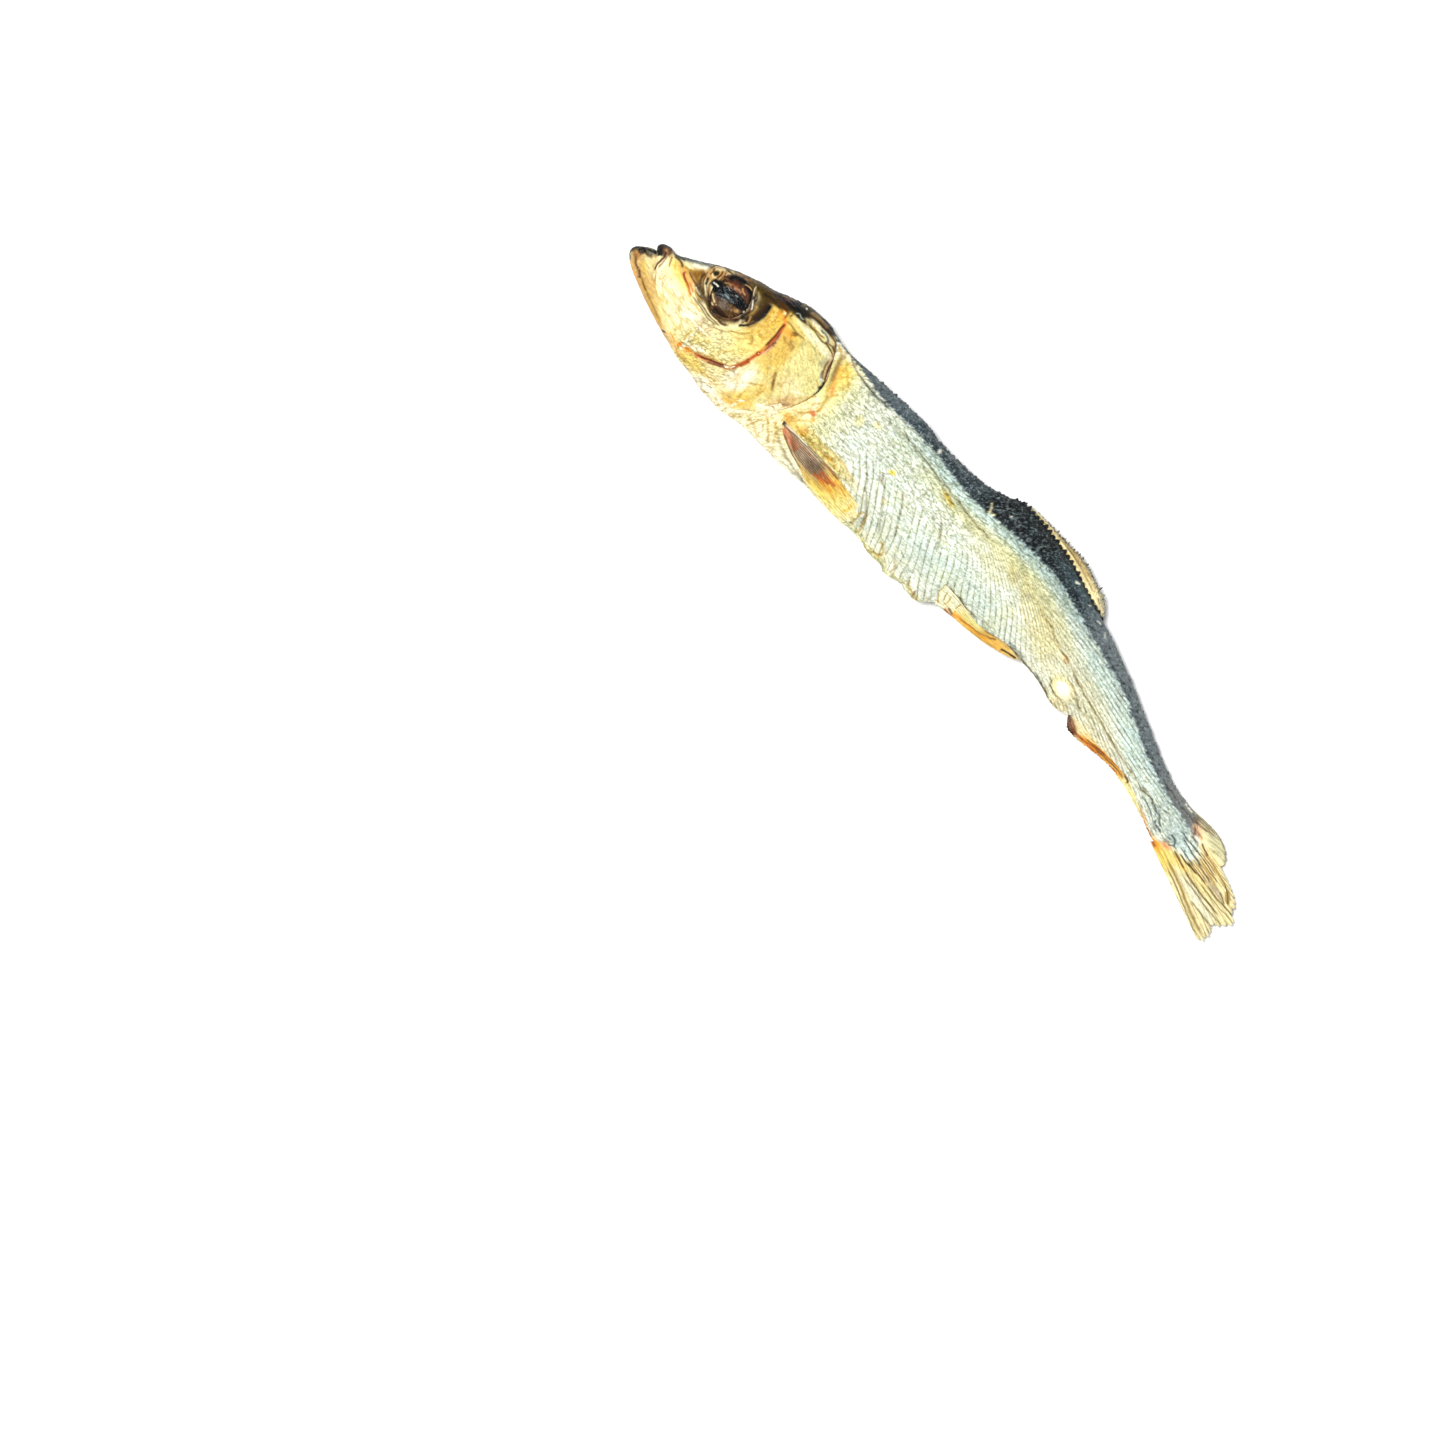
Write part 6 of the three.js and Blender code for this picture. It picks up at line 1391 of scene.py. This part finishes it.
def median_fin_surface(root, edge, sink, thickness, rays, marks, colours, seed, ray_relief, teeth):
    """A folded fin: at shares u of the length and v from the root to the edge, the point is the mix of both
    lines. The sheet ripples sideways with u and thins to its frayed edge. Rings run along u. Where teeth is
    above 0, dark skin reaches up between the rays in as many points a millimetre."""
    u = np.linspace(0, 1, 300)[:, None]
    v = np.linspace(0, 1, 30)[None, :]
    rx, ry = line_at(root, u)
    ex, ey = line_at(edge, u)
    fray = v if teeth else 0.35 * v
    ragged = 1 + fray * (0.24 * noise(seed, u * 60, v * 0) + 0.16 * noise(seed + 1, u * 140, v * 0))
    ry = ry + sink
    x = rx + (ex - rx) * v
    y = ry + (ey - ry) * v * ragged
    height = midplane(x) + 0.35 * v * np.sin(9 * u) + 0.12 * v * noise(seed + 2, u * 16, v)
    half = thickness / 2 * (1 - 0.6 * v) * np.sqrt(np.clip((1 - v) * 12, 0.05, 1))
    half = half * np.sqrt(np.clip(np.minimum(u, 1 - u) * 20, 0.02, 1))
    points = blade_rings(x, y, height + half, height - half)
    across = both_faces(v * rays + 0.8 * noise(seed + 3, u * 6, v) + 0 * u)
    coat = fin_coat(points, across, both_faces(x), marks, "cream", colours, seed, ray_relief)
    if teeth:
        over_back = both_faces(y - back_line(x) + 0 * v)
        along = both_faces(x)
        uneven = (0.6 + 0.7 * noise(seed + 6, along / 1.3, along * 0)) * (1 - 0.4 * smooth_step(along, 102, 8))
        reach = 0.25 + uneven * np.abs(np.sin(math.pi * teeth * along))
        coat.lay(bump(over_back, 0.85, 0.25), cream=0.6, relief=0.06)
        coat.lay(smooth_step((reach - over_back) / 0.2), black=0.97)
        dots = smooth_step(noise(seed + 5, along / 0.45, along * 0) * 3 - 0.3)
        coat.lay(smooth_step((both_faces(v + 0 * u) - 0.8) / 0.15) * dots, black=0.7)
    return raised(points, coat.relief), coat


def paired_fin_surface(side, top, bottom, settle, thickness, rays, marks, colours, seed, ray_relief, gill_step):
    """A fin that lies back along the flank: at shares u from its root and v from its lower to its upper line.
    Its root is sunk in the skin and rises over the share settle of its length; its end is round, thin and
    frayed and lies on the skin. Rings run along u."""
    u = np.linspace(0, 1, 240)[:, None]
    v = np.linspace(0, 1, 44)[None, :]
    frayed = 0.012 * noise(seed, v * 9, u * 0) - 0.05 * np.abs(2 * v - 1) ** 3
    reach = u * (1 + frayed * smooth_step(u, 0.6, 0.4))
    tx, ty = line_at(top, reach)
    bx, by = line_at(bottom, reach)
    x = bx + (tx - bx) * v
    y = by + (ty - by) * v
    low, high = belly_line(x), back_line(x)
    share = np.maximum((y - low) / (high - low), 0.012)
    tuck = gill_step * (1 - smooth_step((x - HEAD_END + 1) / 6))
    skin = (half_thickness(x) - tuck) * fullness(share, KEEL_THINNING)
    over = 0.45 * smooth_step(u / settle + 0.2) * (1 - 0.4 * smooth_step(u, 0.55, 0.45)) - 0.15
    height = midplane(x) + side * (skin - 0.12 + over + 0.12 * noise(seed + 1, u * 5, v * 2) * u)
    half = thickness / 2 * (1 - 0.62 * u) * np.sqrt(np.clip(np.minimum(v, 1 - v) * 9, 0.03, 1))
    half = half * np.sqrt(np.clip((1 - u) * 14, 0.02, 1)) * (0.25 + 0.75 * smooth_step(u / settle))
    points = blade_rings(x, y, height + half, height - half)
    across = both_faces(v * rays + 0.7 * noise(seed + 2, u * 4, v * 2))
    coat = fin_coat(points, across, both_faces(x), marks, "cream", colours, seed, ray_relief)
    return raised(points, coat.relief), coat


def tail_surface(root, end, lift, rays, thickness, marks, colours, seed, ray_relief):
    """A bundle of tail rays: at shares u across it and v from its root to its end. Each ray ends at its own
    length, and the sheet is notched between two. Rings run across the bundle."""
    u = np.linspace(0, 1, 26 * rays)[:, None]
    v = np.linspace(0, 1, 70)[None, :]
    rx, ry = line_at(root, u)
    ex, ey = line_at(end, u)
    phase = u * rays + 0.25 * noise(seed, u * rays / 2, v * 2)
    shortened = np.random.default_rng(seed).uniform(0.0, 0.02, rays + 3)
    tip = shortened[np.clip(np.floor(phase[:, -1:]).astype(int), 0, rays) + 1]
    notch = 0.025 * np.abs(np.cos(math.pi * phase[:, -1:])) ** 6
    reach = v * (1 - (tip + notch) * smooth_step(v, 0.4, 0.6))
    x = rx + (ex - rx) * reach
    y = ry + (ey - ry) * reach
    height = midplane(x) + lift * (1 - 0.5 * v) + 0.25 * v * noise(seed + 1, u * 3, v * 2)
    half = thickness / 2 * (1 - 0.3 * v) * np.sqrt(np.clip((1 - v) * 16, 0.08, 1))
    half = half * np.sqrt(np.clip(np.minimum(u, 1 - u) * 14, 0.05, 1))
    points = blade_rings(x, y, height + half, height - half)
    coat = fin_coat(points, both_faces(phase), both_faces(x), marks, "cream", colours, seed, ray_relief)
    coat.marks(ROOT_MARKS)
    return raised(points, coat.relief), coat


# ---- Shader ----


class Value:
    """A socket whose operators add Math nodes to its graph."""

    def __init__(self, graph, socket):
        self.graph = graph
        self.socket = socket

    def math(self, operation, a, b=0.0):
        return self.graph.node("ShaderNodeMath", {"operation": operation}, {0: a, 1: b})

    def __add__(self, other):
        return self.math("ADD", self, other)

    def __radd__(self, other):
        return self.math("ADD", other, self)

    def __sub__(self, other):
        return self.math("SUBTRACT", self, other)

    def __rsub__(self, other):
        return self.math("SUBTRACT", other, self)

    def __mul__(self, other):
        return self.math("MULTIPLY", self, other)

    def __rmul__(self, other):
        return self.math("MULTIPLY", other, self)

    def __abs__(self):
        return self.math("ABSOLUTE", self)

    def at_least(self, floor):
        return self.math("MAXIMUM", self, floor)

    def sine(self):
        return self.math("SINE", self)


class Graph:
    """A node tree that is filled by expressions."""

    def __init__(self, tree):
        tree.nodes.clear()
        self.tree = tree

    def node(self, kind, settings=None, inputs=None, output=0):
        """Adds a node, makes its settings, then sets or links its inputs, and gives one output."""
        made = self.tree.nodes.new(kind)
        for name, value in (settings or {}).items():
            setattr(made, name, value)
        for key, value in (inputs or {}).items():
            if isinstance(value, Value):
                self.tree.links.new(value.socket, made.inputs[key])
            else:
                made.inputs[key].default_value = value
        return Value(self, made.outputs[output]) if made.outputs else None

    def mask(self, name, output="Fac"):
        return self.node("ShaderNodeAttribute", {"attribute_name": name}, output=output)

    def grain(self, place, scale, detail):
        """Noise about zero, from about -0.5 to 0.5, at a scale in cells per millimetre."""
        inputs = {"Vector": place, "Scale": scale, "Detail": detail, "Roughness": 0.6}
        return self.node("ShaderNodeTexNoise", {}, inputs) - 0.5

    def scaled(self, vector, factor):
        return self.node("ShaderNodeVectorMath", {"operation": "SCALE"}, {0: vector, "Scale": factor})

    def mixed(self, factor, a, b, blend="MIX"):
        settings = {"data_type": "RGBA", "blend_type": blend, "clamp_factor": True}
        return self.node("ShaderNodeMix", settings, {0: factor, 6: a, 7: b}, output=2)


def thread_lines(graph, place, stretch, sharpness):
    """Thin wavy lines, 1 in their middle: where noise on stretched places passes through its mean."""
    stretched = graph.node("ShaderNodeVectorMath", {"operation": "MULTIPLY"}, {0: place, 1: stretch})
    return (1 - abs(graph.grain(stretched, 1.0, 1.0)) * sharpness).at_least(0)


def skin_material(look):
    """The tint painted on the points, broken up by grain, threads and pale flecks, partly painted glints, a few tenths
    of a millimetre wide, darker and warmer in the hollows as painted shade, with the same detail in the bump."""
    material = bpy.data.materials.new(SKIN_MATERIAL)
    material.use_nodes = True
    graph = Graph(material.node_tree)
    place = graph.scaled(graph.node("ShaderNodeTexCoord", output="Object"), 1 / MM)
    thread_place = graph.mask("thread_place", "Vector")
    rib_place = graph.mask("rib_place", "Vector")
    phase = graph.node("ShaderNodeSeparateXYZ", {}, {0: rib_place}, output=1)
    speckle = graph.grain(place, 2.4, 3.0)
    mottle = graph.grain(place, 0.45, 2.0)
    broad = thread_lines(graph, thread_place, (0.4, 1.25, 1.0), 9)
    narrow = thread_lines(graph, thread_place, (1.0, 2.3, 2.0), 6)
    threads = (broad + narrow * 0.7) * graph.mask("threads") * look.thread_contrast
    ribs = (1 - abs((phase * math.pi).sine()) * 2.8).at_least(0) * graph.mask("ribs") * look.rib_contrast
    # pale flecks on the dark band, partly painted glints
    flecks_and_glints = (graph.grain(place, 1.7, 2.0) * 9 - 0.5).at_least(0) * graph.mask("flecks_and_glints") * look.fleck_and_glint_strength
    tone = look.brightness + speckle * (graph.mask("grain") * look.grain_contrast + 0.25) + mottle * 0.25
    colour = graph.scaled(graph.mask("tint", "Color"), tone.at_least(0.12))
    colour = graph.mixed(mottle * 1.2 + 0.05, colour, (1.0, 0.95, 0.78, 1), "MULTIPLY")
    colour = graph.mixed(threads + ribs, colour, (*look.thread_tint, 1), "MULTIPLY")
    colour = graph.mixed(flecks_and_glints, colour, (*look.fleck_and_glint_tint, 1))
    # painted shade: the hollows darkened and warmed
    colour = graph.mixed(graph.mask("hollow_shade") * look.hollow_shade_strength, colour, (*look.hollow_shade_tint, 1), "MULTIPLY")
    height = speckle * 0.08 + flecks_and_glints * 0.08 - threads * 0.06 - ribs * 0.06
    bump_normal = graph.node("ShaderNodeBump", {}, {"Strength": look.bump, "Distance": MM, "Height": height})
    shader = graph.node("ShaderNodeBsdfPrincipled", {}, {
        "Base Color": colour,
        "Roughness": graph.mask("rough") + speckle * 0.25,
        "Metallic": graph.mask("sheen") * look.sheen,
        "Normal": bump_normal,
        "Specular IOR Level": look.specular,
    })
    graph.node("ShaderNodeOutputMaterial", {}, {"Surface": shader})
    return material


def plain_material(name, colour, roughness):
    material = bpy.data.materials.new(name)
    material.use_nodes = True
    graph = Graph(material.node_tree)
    shader = graph.node("ShaderNodeBsdfPrincipled", {}, {"Base Color": (*colour, 1), "Roughness": roughness})
    graph.node("ShaderNodeOutputMaterial", {}, {"Surface": shader})
    return material


# ---- Settings ----


def length(name, description, millimetres):
    return FloatProperty(name=name, description=description, default=millimetres * MM, unit="LENGTH", precision=5)


def amount(name, description, default):
    return FloatProperty(name=name, description=description, default=default, soft_min=0.0, soft_max=2.0)


def colour(name, description, *screen):
    """A colour property whose default is given as three screen values from 0 to 255."""
    shares = [c / 255 for c in screen]
    default = [c / 12.92 if c <= 0.04045 else ((c + 0.055) / 1.055) ** 2.4 for c in shares]
    return FloatVectorProperty(name=name, description=description, default=default, min=0, max=1, subtype="COLOR")


class SmokedFishShape(PropertyGroup):
    gill_step: length("Gill step", "How far the gill covers stand over the trunk", 0.55)
    eye_dome: length("Eye dome", "Half depth of an eye", 1.5)
    fin_thickness: length("Fin thickness", "Thickness of the fins at their roots", 0.8)
    ray_relief: length("Ray relief", "Depth of the grooves between fin rays", 0.12)
    rib_spacing: length("Rib spacing", "Distance along the flank from one rib to the next", 1.75)
    rib_relief: length("Rib relief", "Depth of the grooves between ribs", 0.14)


class SmokedFishColours(PropertyGroup):
    silver: colour("Silver", "Bare skin of the flank", 248, 253, 238)
    sky: colour("Sky", "Bluish sheen under the back", 206, 234, 232)
    straw: colour("Straw", "Greenish yellow of the gill covers and fins", 243, 238, 160)
    cream: colour("Cream", "Pale skin of the head, belly and fins", 252, 238, 186)
    white: colour("White", "Dried scale and highlights", 255, 253, 232)
    gold: colour("Gold", "Smoked yellow of the cheeks", 246, 214, 92)
    amber: colour("Amber", "Oily orange at the fins' roots", 240, 160, 50)
    rust: colour("Rust", "Red-brown creases", 196, 78, 26)
    blush: colour("Blush", "Pinkish edges", 228, 160, 130)
    tan: colour("Tan", "Pale brown wrinkles", 206, 164, 104)
    ochre: colour("Ochre", "Darker yellow lines", 204, 160, 66)
    olive: colour("Olive", "Greenish brown round the eye", 66, 50, 14)
    brown: colour("Brown", "Dark brown edges", 68, 36, 18)
    plum: colour("Plum", "Purple-brown membranes", 104, 66, 66)
    ash: colour("Ash", "Grey of the rear back", 118, 122, 124)
    slate: colour("Slate", "Blue-grey of the front back", 44, 62, 70)
    black: colour("Black", "Darkest skin", 6, 9, 11)


class SmokedFishLook(PropertyGroup):
    brightness: amount("Brightness", "What all skin colours are multiplied by", 0.9)
    grain_contrast: amount("Grain contrast", "Light and dark of the grain", 1.8)
    thread_contrast: amount("Thread contrast", "Strength of the fine threads", 0.6)
    thread_tint: colour("Thread tint", "What threads are multiplied by", 158, 160, 136)
    rib_contrast: amount("Rib contrast", "Strength of the lines between ribs", 0.6)
    # pale grains and painted glints on the back
    fleck_and_glint_strength: amount("Fleck strength", "Strength of the pale grains on the back", 0.6)
    fleck_and_glint_tint: colour("Fleck tint", "Pale grains on the back", 132, 144, 148)
    # painted shade in the hollows
    hollow_shade_strength: amount("Cavity strength", "How much hollows darken", 0.4)
    hollow_shade_tint: colour("Cavity tint", "What hollows are multiplied by", 198, 182, 136)
    bump: amount("Bump", "Strength of the fine bump", 1.0)
    sheen: amount("Sheen", "Metallic share of the silver skin", 0.08)
    specular: amount("Specular", "Strength of the skin's gloss", 0.12)


class SmokedFishStage(PropertyGroup):
    floor_size: FloatProperty(name="Floor size", description="Side of the floor", default=6.0, unit="LENGTH")
    floor_colour: colour("Floor colour", "Colour of the floor", 250, 250, 250)
    sky_strength: amount("Sky strength", "Strength of the even light from all round", 0.48)
    key_power: FloatProperty(name="Key power", description="Power of the soft key light", default=25.0, unit="POWER")
    camera_height: FloatProperty(name="Camera height", description="Camera over the floor", default=2.014,
                                 unit="LENGTH")
    camera_turn: FloatProperty(name="Camera turn", description="Camera's turn about the vertical",
                               default=math.radians(50), subtype="ANGLE")


def pigments(context):
    group = context.scene.smoked_fish_colours
    return {name: tuple(getattr(group, name)) for name in SmokedFishColours.__annotations__}


def skin(context):
    """The one skin material, made when it is first asked for."""
    return bpy.data.materials.get(SKIN_MATERIAL) or skin_material(context.scene.smoked_fish_look)


# ---- Operators ----

KEY_PLACE, KEY_AIM, KEY_SIZE = (-0.35, -0.1, 1.35), (0.0, 0.0, 0.005), 0.45  # metres
CAMERA_PLACE = (-0.00625, -0.05796)  # over the floor, in metres
LENS, SENSOR_WIDTH = 250, 36


class BuildTrunk(Operator):
    """Build the trunk with its dark back, silver ribbed flank and ragged tail root"""
    bl_idname = "smoked_fish.trunk"
    bl_label = "Trunk"

    def execute(self, context):
        shape = context.scene.smoked_fish_shape
        points, coat = trunk_surface(
            pigments(context), shape.gill_step / MM, shape.rib_spacing / MM, shape.rib_relief / MM
        )
        closed_skin("trunk", over_table(points), coat, skin(context))
        return {"FINISHED"}


class BuildHead(Operator):
    """Build the head with its gill covers, and the lower jaw"""
    bl_idname = "smoked_fish.head"
    bl_label = "Head and jaw"

    def execute(self, context):
        shape = context.scene.smoked_fish_shape
        points, coat = head_surface(pigments(context), shape.gill_step / MM)
        closed_skin("head", over_table(points), coat, skin(context))
        points, coat = jaw_surface(pigments(context))
        closed_skin("lower_jaw", points, coat, skin(context))
        return {"FINISHED"}


class BuildEyes(Operator):
    """Build the two sunk, dried eyes"""
    bl_idname = "smoked_fish.eyes"
    bl_label = "Eyes"

    def execute(self, context):
        shape = context.scene.smoked_fish_shape
        for name, side in (("eye_left", 1), ("eye_right", -1)):
            points, coat = eye_surface(side, pigments(context), shape.eye_dome / MM)
            closed_skin(name, over_table(points), coat, skin(context))
        return {"FINISHED"}


class BuildPairedFins(Operator):
    """Build the pectoral and pelvic fins on both flanks"""
    bl_idname = "smoked_fish.paired_fins"
    bl_label = "Pectoral and pelvic fins"

    def execute(self, context):
        shape = context.scene.smoked_fish_shape
        fins = (
            ("pectoral_fin", PECTORAL_TOP, PECTORAL_BOTTOM, 0.05, 13, 900),
            ("pelvic_fin", PELVIC_TOP, PELVIC_BOTTOM, 0.2, 8, 1000),
        )
        for name, top, bottom, settle, rays, seed in fins:
            for flank, side in (("left", 1), ("right", -1)):
                points, coat = paired_fin_surface(
                    side, top, bottom, settle, shape.fin_thickness / MM, rays, FIN_MARKS[name], pigments(context),
                    seed + 50 * side, shape.ray_relief / MM, shape.gill_step / MM,
                )
                closed_skin(f"{name}_{flank}", over_table(points), coat, skin(context))
        return {"FINISHED"}


class BuildMedianFins(Operator):
    """Build the dorsal and anal fins, folded along the body"""
    bl_idname = "smoked_fish.median_fins"
    bl_label = "Dorsal and anal fins"

    def execute(self, context):
        shape = context.scene.smoked_fish_shape
        fins = (
            ("dorsal_fin", DORSAL_ROOT, DORSAL_EDGE, -1.2, 6, 1200, DORSAL_TEETH),
            ("anal_fin", ANAL_ROOT, ANAL_EDGE, 1.2, 5, 1300, 0),
        )
        for name, root, edge, sink, rays, seed, teeth in fins:
            points, coat = median_fin_surface(
                root, edge, sink, shape.fin_thickness / MM, rays, FIN_MARKS[name], pigments(context), seed,
                shape.ray_relief / MM, teeth,
            )
            closed_skin(name, points, coat, skin(context))
        return {"FINISHED"}


class BuildTail(Operator):
    """Build the three bundles of tail rays"""
    bl_idname = "smoked_fish.tail"
    bl_label = "Tail"

    def execute(self, context):
        shape = context.scene.smoked_fish_shape
        for k, (name, bundle) in enumerate(TAIL_BUNDLES.items()):
            points, coat = tail_surface(
                **bundle, thickness=shape.fin_thickness / MM, marks=FIN_MARKS["tail"], colours=pigments(context),
                seed=1400 + 40 * k, ray_relief=shape.ray_relief / MM,
            )
            closed_skin(name, over_table(points), coat, skin(context))
        return {"FINISHED"}


class BuildStage(Operator):
    """Lay the pale floor and set up the soft lights and the camera"""
    bl_idname = "smoked_fish.stage"
    bl_label = "Floor, lights and camera"

    def execute(self, context):
        stage = context.scene.smoked_fish_stage
        half = stage.floor_size / 2
        mesh = bpy.data.meshes.new("floor")
        mesh.from_pydata([(-half, -half, 0), (half, -half, 0), (half, half, 0), (-half, half, 0)], [], [(0, 1, 2, 3)])
        mesh.materials.append(plain_material("floor", stage.floor_colour, 0.9))
        floor = bpy.data.objects.new("floor", mesh)
        context.scene.collection.objects.link(floor)

        world = bpy.data.worlds.new("studio")
        world.use_nodes = True
        world.node_tree.nodes["Background"].inputs["Color"].default_value = (1, 1, 1, 1)
        world.node_tree.nodes["Background"].inputs["Strength"].default_value = stage.sky_strength
        context.scene.world = world
        context.scene.view_settings.view_transform = "Standard"

        data = bpy.data.lights.new("key", "AREA")
        data.size = KEY_SIZE
        data.energy = stage.key_power
        key = bpy.data.objects.new("key", data)
        key.location = KEY_PLACE
        key.rotation_euler = (mathutils.Vector(KEY_AIM) - key.location).to_track_quat("-Z", "Y").to_euler()
        context.scene.collection.objects.link(key)

        data = bpy.data.cameras.new("camera")
        data.lens = LENS
        data.sensor_width = SENSOR_WIDTH
        camera = bpy.data.objects.new("camera", data)
        camera.location = (*CAMERA_PLACE, stage.camera_height)
        camera.rotation_euler = (0, 0, stage.camera_turn)
        context.scene.collection.objects.link(camera)
        context.scene.camera = camera
        return {"FINISHED"}


BUILDERS = (BuildTrunk, BuildHead, BuildEyes, BuildPairedFins, BuildMedianFins, BuildTail, BuildStage)
GROUPS = {
    "smoked_fish_shape": SmokedFishShape,
    "smoked_fish_colours": SmokedFishColours,
    "smoked_fish_look": SmokedFishLook,
    "smoked_fish_stage": SmokedFishStage,
}


class SmokedFishPanel(Panel):
    """Lists the sizes and colours and the operators that build with them"""
    bl_idname = "VIEW3D_PT_smoked_fish"
    bl_label = "Smoked Fish"
    bl_space_type = "VIEW_3D"
    bl_region_type = "UI"
    bl_category = "Smoked Fish"

    def draw(self, context):
        for group_name, group in GROUPS.items():
            box = self.layout.box()
            for name in group.__annotations__:
                box.prop(getattr(context.scene, group_name), name)
        for builder in BUILDERS:
            self.layout.operator(builder.bl_idname)


def register():
    for group_name, group in GROUPS.items():
        bpy.utils.register_class(group)
        setattr(bpy.types.Scene, group_name, PointerProperty(type=group))
    for builder in (*BUILDERS, SmokedFishPanel):
        bpy.utils.register_class(builder)


def unregister():
    for builder in (SmokedFishPanel, *reversed(BUILDERS)):
        bpy.utils.unregister_class(builder)
    for group_name, group in reversed(GROUPS.items()):
        delattr(bpy.types.Scene, group_name)
        bpy.utils.unregister_class(group)


def main():
    register()
    for builder in BUILDERS:
        getattr(bpy.ops.smoked_fish, builder.bl_idname.split(".")[1])()


if __name__ == "__main__":
    main()
